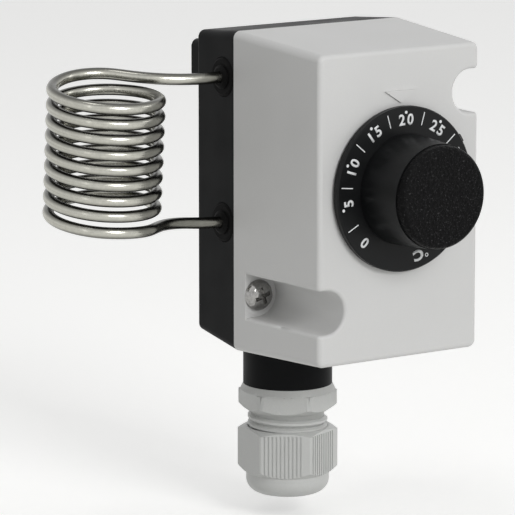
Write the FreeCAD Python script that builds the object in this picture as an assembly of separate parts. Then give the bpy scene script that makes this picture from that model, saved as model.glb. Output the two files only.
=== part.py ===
import FreeCAD, Part
import math
import os

from FreeCAD import Vector

# Capillary thermostat with a coiled sensing tube, a setpoint knob and a cable gland.
# Millimetres. X is to the right seen from the front, the front looks along -Y, +Z is up.
# The origin lies in the wall plane, behind the middle of the joint between base and cover.

os.makedirs("parts", exist_ok=True)

# Housing
joint_width = 55.6
joint_height = 86.6
base_depth = 19.0
cover_depth = 36.7
corner_radius = 2.0
base_back_side_inset = 1.0
base_back_top_inset = 1.6
base_back_bottom_inset = 2.8
cover_front_side_inset = 1.8
cover_front_top_inset = 2.8
cover_front_bottom_inset = 1.2
base_wall = 3.0
base_floor = 2.4
cover_wall = 2.4
front_edge_radius = 1.3
back_edge_radius = 1.2
seam_clearance = 0.02

# Rear feet and wall fixing
foot_height = 7.0
foot_side = 11.0
foot_corner_radius = 2.0
foot_inset_x = 9.4
foot_inset_z = 10.5
fixing_inset_x = 11.2
fixing_inset_z = 9.1
fixing_hole_radius = 2.25
fixing_boss_radius = 4.8
fixing_boss_height = 1.6

# Joint gasket
groove_offset = 0.85
groove_width = 1.1
groove_depth = 1.2
gasket_height = 1.2

# Screw channels of the cover
channel_inset_x = 4.3
channel_inset_z = 15.8
channel_radius = 5.9
channel_floor = 5.0
channel_lip_radius = 0.9
cover_screw_radius = 1.9
cover_screw_hole_clearance = 0.3
cover_screw_length = 18.0
cover_screw_head_radius = 4.15
cover_screw_head_height = 2.9
cover_screw_boss_radius = 3.4
thread_seat_clearance = 0.02

# Pointer on the cover
pointer_width = 10.0
pointer_drop = 3.2
pointer_height = 0.6
pointer_above_dial = 25.9

# Knob and its spindle
dial_z = 3.6
dial_gap = 0.8
disc_radius = 22.0
disc_thickness = 1.9
disc_edge_chamfer = 0.3
cone_base_radius = 14.8
cone_end_radius = 13.9
cone_length = 14.2
knob_wall = 2.2
knob_hub_radius = 6.0
knob_rib_count = 6
knob_rib_thickness = 1.2
knob_rib_clearance = 2.4
knob_rib_hub_reach = 0.5
knob_rib_wall_reach = 0.3
stop_lug_wall_reach = 0.4
cap_radius = 13.6
cap_thickness = 2.5
cap_edge_radius = 1.2
spindle_radius = 3.0
spindle_chamfer = 0.4
spindle_fit = 0.05
spindle_flat_height = 2.2
spindle_flat_length = 9.0
spindle_bore_end_gap = 0.4
spindle_cover_clearance = 0.3
stop_inner_radius = 9.0
stop_outer_radius = 11.8
stop_height = 3.0
stop_half_angle = 30.0
dial_half_range = 135.0
stop_angle_clearance = 1.0
stop_gap = 0.4

# Limit ring under the disc
ring_rim = 1.0
ring_width = 4.0
ring_thickness = 0.8
ring_recess = 0.4
ring_fit = 0.05
ring_tab_angle = 32.5
ring_tab_width = 2.2
ring_tab_reach = 0.5
ring_tab_height = 1.6

# Spindle seal in the cover
seal_pocket_depth = 2.0
seal_section_height = 1.8
seal_outer_radius = 4.45
seal_boss_radius = 6.6
seal_boss_height = 4.4

# Coiled sensing tube
tube_radius = 1.56
coil_distance = 35.97
coil_y = -18.1
coil_radius = 14.18
coil_steps_per_turn = 6
coil_full_turns = 8
coil_part_turn = 0.75
coil_top_z = 30.68
coil_pitch = 4.11
coil_last_pitch = 4.45
coil_start_rise = 0.6
coil_rise_divisor = 6
coil_raised_corners = 2
lead_leave_angle = 45.0
lead_join_angle = 36.0
lead_y_from_joint = 5.4
upper_lead_z = 30.5
lower_lead_z = -8.85
lower_lead_rise = 1.6
lower_lead_straight = 4.0
coil_lean_angle = 6.66
coil_lean_heading = 258.3

# Grommets
grommet_seat_depth = 0.8
grommet_flange_radius = 5.2
grommet_flange_thickness = 1.0
grommet_dome_radius = 3.2
grommet_dome_height = 0.9
grommet_neck_radius = 3.15
grommet_inner_flange_radius = 4.2
grommet_inner_flange_thickness = 0.9
grommet_inner_gap = 3.0
grommet_seat_clearance = 0.2
grommet_bore_clearance = 0.05

# Ends of the sensing tube inside the base
upper_tube_inset = 6.0
lower_tube_inset = 6.7
end_sleeve_radius = 2.1
end_sleeve_length = 2.0
end_cap_wall = 0.9
capillary_radius = 0.65
braze_clearance = 0.02
capillary_seat_depth = 1.0
capillary_socket_depth = 1.2
capillary_first_run = 2.6
capillary_bend_reach = 2.9
capillary_bend_depth = 7.2
capillary_bend_rise = 0.8
capillary_side_rise = 4.6
capillary_side_inset = 2.2
capillary_end_run = 5.5

# Cable neck
gland_x = -5.4
gland_y = -19.3
neck_radius = 12.2
neck_bottom_z = -55.6
neck_cover_gap = 0.3
entry_thread_radius = 10.0
entry_thread_length = 9.5
passage_radius = 6.5
passage_y_shift = 1.4

# Cable gland
gland_across_flats = 24.0
collar_face_radius = 12.2
collar_flange_radius = 13.0
collar_flange_height = 1.9
collar_corner_radius = 13.5
collar_height = 7.3
collar_chamfer_height = 1.6
collar_end_radius = 11.2
collar_corner_angle = 20.6
clamp_thread_radius = 10.95
clamp_thread_length = 12.0
gland_bore_radius = 6.6
seal_seat_radius = 8.1
claw_length = 4.3
claw_straight = 2.3
claw_root_radius = 9.8
claw_tip_radius = 8.8
claw_count = 8
claw_slot_width = 1.2
o_ring_groove_radius = 10.5
o_ring_width = 1.0
o_ring_depth = 0.9
nut_gap = 4.7
nut_length = 18.5
nut_corner_angle = 22.3
nut_corner_radius = 13.7
nut_face_radius = 11.6
nut_top_chamfer = 0.9
nut_hex_length = 11.2
nut_thread_clearance = 0.1
nut_thread_length = 10.4
nut_chamfer_height = 1.7
nut_round_radius = 11.4
nut_round_length = 1.2
nut_mouth_radius = 6.8
nut_mouth_wall = 2.5
nut_cone_radius = 8.3
nut_cone_top_radius = 10.4
nut_cone_length = 4.1
nut_end_flat_radius = 8.0
rib_count = 9
rib_pitch = 1.1
rib_shift = -0.9
rib_groove_width = 0.5
rib_groove_depth = 0.35
cable_seal_radius = 7.9
cable_seal_bore = 5.75
cable_seal_length = 10.0

# Chassis
chassis_gap = 9.0
chassis_thickness = 1.2
chassis_fold_radius = 0.8
chassis_side_room = 11.6
chassis_top = 27.0
chassis_bottom = -24.0
leg_top = 14.0
leg_bottom = -22.0
leg_length = 25.9
post_inset = 4.7
post_top_z = 24.0
post_bottom_z = -21.0
post_radius = 3.0
small_screw_radius = 1.25
small_screw_head_radius = 2.5
small_screw_head_height = 1.7
pan_head_shares = ((0.45, 0.96), (0.8, 0.75), (1, 0.3))
screw_point_share = 0.3
recess_arm_share = 0.58
recess_slot_share = 0.14
recess_depth_share = 0.55
small_screw_length = 7.5
small_screw_hole = 1.5

# Spindle bracket, bush and clip
bracket_thickness = 1.5
bracket_half_height = 6.5
bracket_flange_length = 5.6
bracket_fit = 0.02
rivet_radius = 1.0
rivet_spacing = 6.0
rivet_head_radius = 1.8
rivet_head_height = 0.6
bush_radius = 4.5
bush_inner_length = 1.3
bush_flange_radius = 6.2
bush_flange_height = 1.2
end_play = 0.15
spindle_collar_radius = 4.3
spindle_collar_height = 1.5
clip_groove_radius = 2.4
clip_radius = 4.6
clip_thickness = 0.8
clip_mouth = 3.6
adjust_thread_radius = 2.5
adjust_thread_length = 8.4

# Range nut and leaf
range_nut_clearance = 0.25
range_nut_height = 8.0
range_nut_thickness = 4.0
range_nose_radius = 3.5
range_nose_height = 1.2
leaf_width = 8.0
leaf_half_span = 11.0
leaf_thickness = 0.5
leaf_rise = 6.3
leaf_gap = 1.4

# Lever and capsule
lever_width = 14.0
lever_thickness = 1.5
lever_bottom = -17.0
lever_pivot_z = 22.0
lever_knuckle_radius = 2.8
lever_pin_radius = 1.5
lever_pin_clearance = 0.05
ear_gap = 0.5
ear_radius = 3.2
pin_head_radius = 2.4
pin_head_height = 0.8
capsule_radius = 12.0
capsule_rim = 1.4
capsule_bulge = 1.3
capsule_seat_radius = 5.5
capsule_seat_height = 2.8
capsule_neck_radius = 4.0
capsule_neck_clearance = 0.03
capsule_neck_stand = 0.3
capsule_back_radius = 3.0
capsule_back_height = 1.7
push_pin_radius = 2.0
push_pin_length = 5.3
push_pin_stand = 2.7
push_pin_gap = 0.3
push_pin_room = 0.6

# Switch and terminals
switch_top = -8.5
switch_bottom = -21.5
switch_gap = 3.5
switch_depth = 14.4
switch_side_clearance = 0.2
switch_edge_radius = 0.8
plunger_z = -14.0
plunger_radius = 1.5
plunger_clearance = 0.05
plunger_inside = 2.0
plunger_room = 2.0
terminal_pitch = 9.0
terminal_count = 3
terminal_width = 6.0
terminal_height = 6.6
terminal_depth = 6.6
terminal_setback = 0.8
terminal_wall = 1.4
terminal_screw_reach = 1.2
pocket_clearance = 0.2
terminal_screw_head_radius = 2.2
terminal_screw_head_height = 1.6
side_screw_z = -15.0
side_screw_setback = 3.4
side_screw_depth = 4.0
side_screw_end_room = 0.2

# Earth terminal
earth_x = 8.5
earth_z = -30.5
earth_post_height = 6.0
earth_plate_width = 9.0
earth_plate_length = 7.0
earth_plate_thickness = 1.2
earth_lip = 1.4
earth_screw_length = 6.5

# Places worked out from the sizes
back_y = -foot_height
joint_y = back_y - base_depth
front_y = joint_y - cover_depth
floor_y = back_y - base_floor
cover_inner_y = front_y + cover_wall
half_height = joint_height / 2
half_width = joint_width / 2
foot_x = half_width - foot_inset_x
foot_z = half_height - foot_inset_z
fixing_x = half_width - fixing_inset_x
fixing_z = half_height - fixing_inset_z
channel_x = half_width - channel_inset_x
channel_z = half_height - channel_inset_z
grommet_seat_x = half_width - grommet_seat_depth
upper_tube_end_x = half_width - upper_tube_inset
lower_tube_end_x = half_width - lower_tube_inset
coil_x = -half_width - coil_distance
chassis_half_width = half_width - chassis_side_room
post_x = chassis_half_width - post_inset
ring_outer_radius = disc_radius - ring_rim
ring_inner_radius = ring_outer_radius - ring_width
lead_y = joint_y + lead_y_from_joint
disc_back_y = front_y - dial_gap
disc_front_y = disc_back_y - disc_thickness
cone_end_y = disc_front_y - cone_length
plate_back_y = floor_y - chassis_gap
plate_front_y = plate_back_y - chassis_thickness
leg_end_y = plate_front_y - leg_length
bracket_front_y = leg_end_y
bracket_back_y = bracket_front_y + bracket_thickness
capsule_front_y = plate_back_y + capsule_seat_height
push_pin_front_y = plate_front_y - push_pin_stand
lever_back_y = push_pin_front_y - push_pin_gap
lever_front_y = lever_back_y - lever_thickness
lever_pivot_y = (lever_back_y + lever_front_y) / 2
leaf_crest_y = lever_front_y - leaf_rise
range_nose_y = leaf_crest_y - leaf_gap
range_nut_back_y = range_nose_y - range_nose_height
range_nut_front_y = range_nut_back_y - range_nut_thickness
bush_back_y = bracket_back_y + bush_inner_length
collar_front_y = bush_back_y + end_play
collar_back_y = collar_front_y + spindle_collar_height
clip_front_y = bracket_front_y - bush_flange_height - end_play
switch_back_y = lever_front_y - switch_gap
switch_front_y = switch_back_y - switch_depth
collar_bottom_z = neck_bottom_z - collar_height
nut_top_z = collar_bottom_z - nut_gap
nut_bottom_z = nut_top_z - nut_length
thread_end_z = collar_bottom_z - clamp_thread_length
claw_end_z = thread_end_z - claw_length
seal_bottom_z = nut_bottom_z + nut_mouth_wall


def save(name, shape):
    """Write one named piece."""
    shape.exportStep("parts/" + name + ".step")


def join(shapes):
    """Fuse a list of solids into one clean solid."""
    whole = shapes[0].multiFuse(shapes[1:]) if len(shapes) > 1 else shapes[0]
    return whole.removeSplitter()


def box(x0, x1, y0, y1, z0, z1):
    """Block between two corners."""
    return Part.makeBox(x1 - x0, y1 - y0, z1 - z0, Vector(x0, y0, z0))


def rod(radius, start, end):
    """Cylinder from one point to another."""
    axis = end - start
    return Part.makeCylinder(radius, axis.Length, start, axis)


def rod_y(radius, x, z, y0, y1):
    """Cylinder along Y."""
    return rod(radius, Vector(x, y0, z), Vector(x, y1, z))


def rod_z(radius, x, y, z0, z1):
    """Cylinder along Z."""
    return rod(radius, Vector(x, y, z0), Vector(x, y, z1))


def turned_y(profile, x=0.0, z=0.0):
    """Solid of revolution about a line along Y, from (radius, y) points."""
    points = [Vector(x + r, y, z) for r, y in profile]
    face = Part.Face(Part.makePolygon(points + points[:1]))
    return face.revolve(Vector(x, 0, z), Vector(0, 1, 0), 360)


def turned_z(profile, x, y):
    """Solid of revolution about a line along Z, from (radius, z) points."""
    points = [Vector(x + r, y, z) for r, z in profile]
    face = Part.Face(Part.makePolygon(points + points[:1]))
    return face.revolve(Vector(x, y, 0), Vector(0, 0, 1), 360)


def turned_x(profile, y, z):
    """Solid of revolution about a line along X, from (radius, x) points."""
    points = [Vector(x, y + r, z) for r, x in profile]
    face = Part.Face(Part.makePolygon(points + points[:1]))
    return face.revolve(Vector(0, y, z), Vector(1, 0, 0), 360)


def rounded_outline(y, left, right, bottom, top, radius):
    """Closed rounded rectangle in the plane at depth y."""
    centres = [
        (right - radius, top - radius, 0),
        (left + radius, top - radius, 90),
        (left + radius, bottom + radius, 180),
        (right - radius, bottom + radius, 270),
    ]
    arcs = []
    for x, z, start in centres:
        angles = [math.radians(start + step) for step in (0, 45, 90)]
        points = [Vector(x + radius * math.cos(a), y, z + radius * math.sin(a)) for a in angles]
        arcs.append(Part.Arc(*points).toShape())
    edges = []
    for index, arc in enumerate(arcs):
        following = arcs[(index + 1) % len(arcs)]
        edges.append(arc)
        edges.append(
            Part.makeLine(arc.valueAt(arc.LastParameter), following.valueAt(following.FirstParameter))
        )
    return Part.Wire(edges)


def housing_outline(y, insets, share, offset):
    """Outline of the housing, moved inwards by the draft at this depth and by an offset."""
    side, top, bottom = [inset * share + offset for inset in insets]
    radius = max(corner_radius - offset, 0.6)
    return rounded_outline(
        y, -half_width + side, half_width - side, -half_height + bottom, half_height - top, radius
    )


def base_outline(y, offset=0.0):
    """Outline of the base at depth y."""
    insets = (base_back_side_inset, base_back_top_inset, base_back_bottom_inset)
    return housing_outline(y, insets, (y - joint_y) / base_depth, offset)


def cover_outline(y, offset=0.0):
    """Outline of the cover at depth y."""
    insets = (cover_front_side_inset, cover_front_top_inset, cover_front_bottom_inset)
    return housing_outline(y, insets, (joint_y - y) / cover_depth, offset)


def edges_at(shape, y):
    """Edges of a shape that lie in the plane at depth y."""
    return [edge for edge in shape.Edges if all(abs(vertex.Y - y) < 1e-6 for vertex in edge.Vertexes)]


def sector(inner, outer, half_angle, middle_angle, y0, y1, x, z):
    """Part of a flat ring about a line along Y, between two radii and two angles."""
    start = math.radians(middle_angle - half_angle)
    end = math.radians(middle_angle + half_angle)
    middle = math.radians(middle_angle)
    def at(radius, angle):
        return Vector(x + radius * math.cos(angle), y0, z + radius * math.sin(angle))
    edges = [
        Part.Arc(at(outer, start), at(outer, middle), at(outer, end)).toShape(),
        Part.makeLine(at(outer, end), at(inner, end)),
        Part.Arc(at(inner, end), at(inner, middle), at(inner, start)).toShape(),
        Part.makeLine(at(inner, start), at(outer, start)),
    ]
    return Part.Face(Part.Wire(edges)).extrude(Vector(0, y1 - y0, 0))


def bent_tube(points, radius, largest_share=0.5):
    """Round tube along straight runs whose corners are rounded by tangent arcs."""
    edges = []
    here = points[0]
    last = len(points) - 2
    for index in range(1, len(points) - 1):
        before = points[index] - points[index - 1]
        after = points[index + 1] - points[index]
        room_before = before.Length * (largest_share if index > 1 else 0.9)
        room_after = after.Length * (largest_share if index < last else 0.9)
        tangent = min(room_before, room_after)
        direction_in = Vector(before).normalize()
        direction_out = Vector(after).normalize()
        half_turn = direction_in.getAngle(direction_out) / 2
        bend_radius = tangent / math.tan(half_turn)
        towards_centre = (direction_out - direction_in).normalize()
        centre = points[index] + towards_centre * (bend_radius / math.cos(half_turn))
        start = points[index] - direction_in * tangent
        end = points[index] + direction_out * tangent
        if (start - here).Length > 1e-4:
            edges.append(Part.makeLine(here, start))
        edges.append(Part.Arc(start, centre - towards_centre * bend_radius, end).toShape())
        here = end
    edges.append(Part.makeLine(here, points[-1]))
    section = Part.Wire(Part.makeCircle(radius, points[0], points[1] - points[0]))
    return Part.Wire(edges).makePipeShell([section], True, False)


def channel_shape(side, grow, y0, y1):
    """Slot with a half-round bottom that opens to one side of the cover."""
    radius = channel_radius + grow
    x = side * channel_x
    z = side * channel_z
    outside = side * (half_width + 2)
    slot = box(min(x, outside), max(x, outside), y0, y1, z - radius, z + radius)
    return slot.fuse(rod_y(radius, x, z, y0, y1))


def make_base_housing():
    """Black moulded base: drafted tray with feet, posts, screw bosses, grommet seats and cable neck."""
    outer = Part.makeLoft([base_outline(joint_y), base_outline(back_y)], True, True)
    outer = outer.makeFillet(back_edge_radius, edges_at(outer, back_y))
    cavity = Part.makeLoft([base_outline(joint_y, base_wall), base_outline(floor_y, base_wall)], True, True)
    bosses = []
    for side in (-1, 1):
        boss = rod_y(cover_screw_boss_radius, side * channel_x, side * channel_z, joint_y, floor_y)
        bosses.append(boss.common(outer))
        bosses.append(
            rod_y(
                fixing_boss_radius, side * fixing_x, -side * fixing_z, floor_y - fixing_boss_height, floor_y
            )
        )
    for x in (-post_x, post_x):
        for z in (post_top_z, post_bottom_z):
            bosses.append(rod_y(post_radius, x, z, plate_back_y, floor_y))
    bosses.append(rod_y(post_radius, earth_x, earth_z, floor_y - earth_post_height, floor_y))
    for x, z in ((-foot_x, foot_z), (foot_x, foot_z), (foot_x, -foot_z)):
        half = foot_side / 2
        foot = rounded_outline(0, x - half, x + half, z - half, z + half, foot_corner_radius)
        bosses.append(Part.Face(foot).extrude(Vector(0, back_y - base_floor / 2, 0)))
    roof_z = -half_height - neck_cover_gap
    bosses.append(rod_z(neck_radius, gland_x, gland_y, neck_bottom_z, roof_z))
    shoulder = rod_z(neck_radius, gland_x, gland_y, roof_z, -half_height + base_wall)
    bosses.append(shoulder.common(box(-half_width, half_width, joint_y, 0, -half_height - 1, 0)))
    body = join([outer.cut(cavity)] + bosses)

    cuts = [
        rod_z(entry_thread_radius, gland_x, gland_y, neck_bottom_z - 1, neck_bottom_z + entry_thread_length)
    ]
    passage_y = gland_y + passage_y_shift
    passage_top_z = -half_height + base_wall + base_back_bottom_inset
    cuts.append(rod_z(passage_radius, gland_x, passage_y, neck_bottom_z, passage_top_z))
    groove_outer = Part.Face(base_outline(joint_y, groove_offset)).extrude(Vector(0, groove_depth, 0))
    groove_inner = Part.Face(
        base_outline(joint_y, groove_offset + groove_width)
    ).extrude(Vector(0, groove_depth, 0))
    cuts.append(groove_outer.cut(groove_inner))
    screw_end_y = joint_y - channel_floor + cover_screw_length
    for side in (-1, 1):
        pilot = cover_screw_radius + thread_seat_clearance
        cuts.append(rod_y(pilot, side * channel_x, side * channel_z, joint_y - 1, screw_end_y))
        cuts.append(
            rod_y(fixing_hole_radius, side * fixing_x, -side * fixing_z, floor_y - fixing_boss_height - 1, 1)
        )
    pilot = small_screw_radius + thread_seat_clearance
    for x in (-post_x, post_x):
        for z in (post_top_z, post_bottom_z):
            cuts.append(rod_y(pilot, x, z, plate_back_y - 1, plate_front_y + small_screw_length))
    earth_top_y = floor_y - earth_post_height
    cuts.append(
        rod_y(
            pilot, earth_x, earth_z, earth_top_y - 1, earth_top_y - earth_plate_thickness + earth_screw_length
        )
    )
    for z in (upper_lead_z, lower_lead_z):
        hole = grommet_neck_radius + grommet_bore_clearance
        cuts.append(
            rod(hole, Vector(-half_width - 1, lead_y, z), Vector(-half_width + base_wall + 3, lead_y, z))
        )
        seat = grommet_flange_radius + grommet_seat_clearance
        cuts.append(rod(seat, Vector(-half_width - 1, lead_y, z), Vector(-grommet_seat_x, lead_y, z)))
    for cut in cuts:
        body = body.cut(cut)
    save("base_housing", body.removeSplitter())


def make_housing_gasket():
    """Rubber ring in the groove of the base's rim."""
    outer = Part.Face(base_outline(joint_y, groove_offset + seam_clearance))
    inner = Part.Face(base_outline(joint_y, groove_offset + groove_width - seam_clearance))
    height = Vector(0, gasket_height, 0)
    save("housing_gasket", outer.extrude(height).cut(inner.extrude(height)))


def make_cover():
    """Light grey cover: drafted shell with screw channels, pointer, spindle boss and rotation stop."""
    outer = Part.makeLoft([cover_outline(joint_y), cover_outline(front_y)], True, True)
    outer = outer.makeFillet(front_edge_radius, edges_at(outer, front_y))
    inner = Part.makeLoft(
        [cover_outline(joint_y, cover_wall), cover_outline(cover_inner_y, cover_wall)], True, True
    )
    floor_depth = joint_y - channel_floor
    walls = [outer.cut(inner)]
    for side in (-1, 1):
        walls.append(channel_shape(side, cover_wall, front_y, joint_y).common(outer))
    walls.append(
        rod_y(seal_boss_radius, 0, dial_z, cover_inner_y + seal_boss_height, front_y + cover_wall / 2)
    )
    body = join(walls)
    for side in (-1, 1):
        body = body.cut(channel_shape(side, 0, front_y - 1, floor_depth))
        hole = cover_screw_radius + cover_screw_hole_clearance
        body = body.cut(rod_y(hole, side * channel_x, side * channel_z, floor_depth - 1, joint_y + 1))
    body = body.removeSplitter()
    lips = []
    for edge in body.Edges:
        middle = edge.valueAt((edge.FirstParameter + edge.LastParameter) / 2)
        side = math.copysign(1, middle.x)
        distance = math.hypot(middle.x - side * channel_x, middle.z - side * channel_z)
        if abs(middle.y - front_y) < 1e-4 and distance < channel_radius + 1e-3:
            lips.append(edge)
    body = body.makeFillet(channel_lip_radius, lips)
    body = body.cut(
        rod_y(
            spindle_radius + spindle_cover_clearance,
            0,
            dial_z,
            front_y - 1,
            cover_inner_y + seal_boss_height + 1,
        )
    )
    pocket = seal_outer_radius + seam_clearance
    mouth_y = cover_inner_y + seal_boss_height
    body = body.cut(rod_y(pocket, 0, dial_z, mouth_y - seal_pocket_depth, mouth_y + 1))
    stop = sector(
        stop_inner_radius,
        stop_outer_radius,
        stop_half_angle,
        -90,
        front_y + 1,
        front_y - stop_height,
        0,
        dial_z,
    )
    top_z = dial_z + pointer_above_dial
    half = pointer_width / 2
    corners = [
        Vector(-half, front_y + 1, top_z),
        Vector(half, front_y + 1, top_z),
        Vector(0, front_y + 1, top_z - pointer_drop),
    ]
    pointer = Part.Face(Part.makePolygon(corners + corners[:1])).extrude(Vector(0, -1 - pointer_height, 0))
    save("cover", join([body, stop, pointer]))


def make_spindle_seal():
    """Rubber ring round the spindle, in the cover's boss."""
    mouth_y = cover_inner_y + seal_boss_height
    start = mouth_y - seal_pocket_depth
    ring = rod_y(seal_outer_radius, 0, dial_z, start, start + seal_section_height)
    save("spindle_seal", ring.cut(rod_y(spindle_radius + spindle_fit, 0, dial_z, start - 1, mouth_y + 1)))


def pan_screw(head_radius, head_height, shank_radius, shank_length):
    """Pan-head screw with a cross recess, its seat at the origin and its shank towards +Y."""
    dome = [
        (0, -head_height),
        *((head_radius * wide, -head_height * high) for wide, high in pan_head_shares),
        (head_radius, 0),
        (shank_radius, 0),
        (shank_radius, shank_length - shank_radius),
        (shank_radius * screw_point_share, shank_length),
        (0, shank_length),
    ]
    screw = turned_y(dome)
    arm = head_radius * recess_arm_share
    slot = head_radius * recess_slot_share
    depth = head_height * recess_depth_share
    for half_x, half_z in ((arm, slot), (slot, arm)):
        screw = screw.cut(box(-half_x, half_x, -head_height - 1, -head_height + depth, -half_z, half_z))
    return screw


def make_cover_screws():
    """Two screws at the ends of the cover's channels."""
    screws = []
    for side in (-1, 1):
        screw = pan_screw(
            cover_screw_head_radius, cover_screw_head_height, cover_screw_radius, cover_screw_length
        )
        screw.rotate(Vector(0, 0, 0), Vector(0, 1, 0), 20 * side)
        screw.translate(Vector(side * channel_x, joint_y - channel_floor, side * channel_z))
        screws.append(screw)
    save("cover_screws", Part.makeCompound(screws))


def make_dial_knob():
    """Black knob: numbered disc, hollow cone, hub with a flat, ribs and a stop lug."""
    inner_end_y = cone_end_y + knob_wall
    bore = spindle_radius + spindle_fit
    bore_end_y = inner_end_y - spindle_bore_end_gap
    recess_y = disc_back_y - ring_recess
    profile = [
        (0, cone_end_y),
        (cone_end_radius, cone_end_y),
        (cone_base_radius, disc_front_y),
        (disc_radius - disc_edge_chamfer, disc_front_y),
        (disc_radius, disc_front_y + disc_edge_chamfer),
        (disc_radius, disc_back_y),
        (ring_outer_radius + ring_fit, disc_back_y),
        (ring_outer_radius + ring_fit, recess_y),
        (ring_inner_radius - ring_fit, recess_y),
        (ring_inner_radius - ring_fit, disc_back_y),
        (cone_base_radius - knob_wall, disc_back_y),
        (cone_end_radius - knob_wall, inner_end_y),
        (knob_hub_radius, inner_end_y),
        (knob_hub_radius, disc_back_y),
        (bore, disc_back_y),
        (bore, bore_end_y),
        (0, bore_end_y),
    ]
    pieces = [turned_y(profile, 0, dial_z)]
    lug_half_angle = 180 - dial_half_range - stop_half_angle - stop_angle_clearance
    lug_end_y = front_y - stop_height - stop_gap
    wall_radius = cone_base_radius - knob_wall + stop_lug_wall_reach
    pieces.append(
        sector(
            stop_inner_radius - stop_gap,
            wall_radius,
            lug_half_angle,
            90,
            disc_back_y,
            lug_end_y - 2,
            0,
            dial_z,
        )
    )
    rib_start_y = lug_end_y - knob_rib_clearance
    for index in range(knob_rib_count):
        half = knob_rib_thickness / 2
        rib = box(
            knob_hub_radius - knob_rib_hub_reach,
            cone_base_radius - knob_wall + knob_rib_wall_reach,
            inner_end_y - knob_rib_hub_reach,
            rib_start_y,
            -half,
            half,
        )
        rib.rotate(Vector(0, 0, 0), Vector(0, 1, 0), 360 * index / knob_rib_count + 30)
        rib.translate(Vector(0, 0, dial_z))
        pieces.append(rib)
    flat_z = spindle_flat_height + spindle_fit
    flat = rod_y(bore + 0.3, 0, 0, bore_end_y - 0.2, bore_end_y + spindle_flat_length - 1)
    flat = flat.common(box(-bore - 1, bore + 1, cone_end_y, disc_back_y, flat_z, bore + 1))
    flat.translate(Vector(0, 0, dial_z))
    pieces.append(flat)
    save("dial_knob", join(pieces))


def make_knob_cap():
    """Round cap on the end of the knob's cone."""
    cap = rod_y(cap_radius, 0, dial_z, cone_end_y, cone_end_y - cap_thickness)
    save("knob_cap", cap.makeFillet(cap_edge_radius, edges_at(cap, cone_end_y - cap_thickness)))


def make_limit_ring():
    """Thin ring in the back of the disc, with a tab that shows at its rim."""
    back_y_ring = disc_back_y - ring_recess + ring_thickness
    ring = rod_y(ring_outer_radius, 0, dial_z, back_y_ring, disc_back_y - ring_recess)
    ring = ring.cut(rod_y(ring_inner_radius, 0, dial_z, back_y_ring + 1, disc_back_y - ring_recess - 1))
    reach = disc_radius + ring_fit + ring_tab_reach
    half = ring_tab_width / 2
    arm = box(ring_outer_radius - 1, reach, disc_back_y, back_y_ring, -half, half)
    lip = box(disc_radius + ring_fit, reach, back_y_ring - ring_tab_height, back_y_ring, -half, half)
    tab = arm.fuse(lip)
    tab.rotate(Vector(0, 0, 0), Vector(0, 1, 0), -ring_tab_angle)
    tab.translate(Vector(0, 0, dial_z))
    save("limit_ring", join([ring, tab]))


def make_setpoint_spindle():
    """Brass spindle: shaft with a flat, clip groove, collar and adjusting thread."""
    end_y = cone_end_y + knob_wall - spindle_bore_end_gap + spindle_fit
    groove_back_y = clip_front_y + spindle_fit
    groove_front_y = clip_front_y - clip_thickness - spindle_fit
    thread_end_y = collar_back_y + adjust_thread_length
    profile = [
        (0, end_y),
        (spindle_radius - spindle_chamfer, end_y),
        (spindle_radius, end_y + spindle_chamfer),
        (spindle_radius, groove_front_y),
        (clip_groove_radius, groove_front_y),
        (clip_groove_radius, groove_back_y),
        (spindle_radius, groove_back_y),
        (spindle_radius, collar_front_y),
        (spindle_collar_radius, collar_front_y),
        (spindle_collar_radius, collar_back_y),
        (adjust_thread_radius, collar_back_y),
        (adjust_thread_radius, thread_end_y),
        (0, thread_end_y),
    ]
    spindle = turned_y(profile, 0, dial_z)
    flat_z = dial_z + spindle_flat_height
    flat = box(
        -spindle_radius,
        spindle_radius,
        end_y - 1,
        end_y + spindle_flat_length,
        flat_z,
        flat_z + spindle_radius,
    )
    save("setpoint_spindle", spindle.cut(flat))


def make_spindle_clip():
    """Open retaining clip in the spindle's groove."""
    back = clip_front_y
    front = clip_front_y - clip_thickness
    clip = rod_y(clip_radius, 0, dial_z, front, back)
    clip = clip.cut(rod_y(clip_groove_radius + spindle_fit, 0, dial_z, front - 1, back + 1))
    half = clip_mouth / 2
    save("spindle_clip", clip.cut(box(-half, half, front - 1, back + 1, dial_z - clip_radius - 1, dial_z)))


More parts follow.
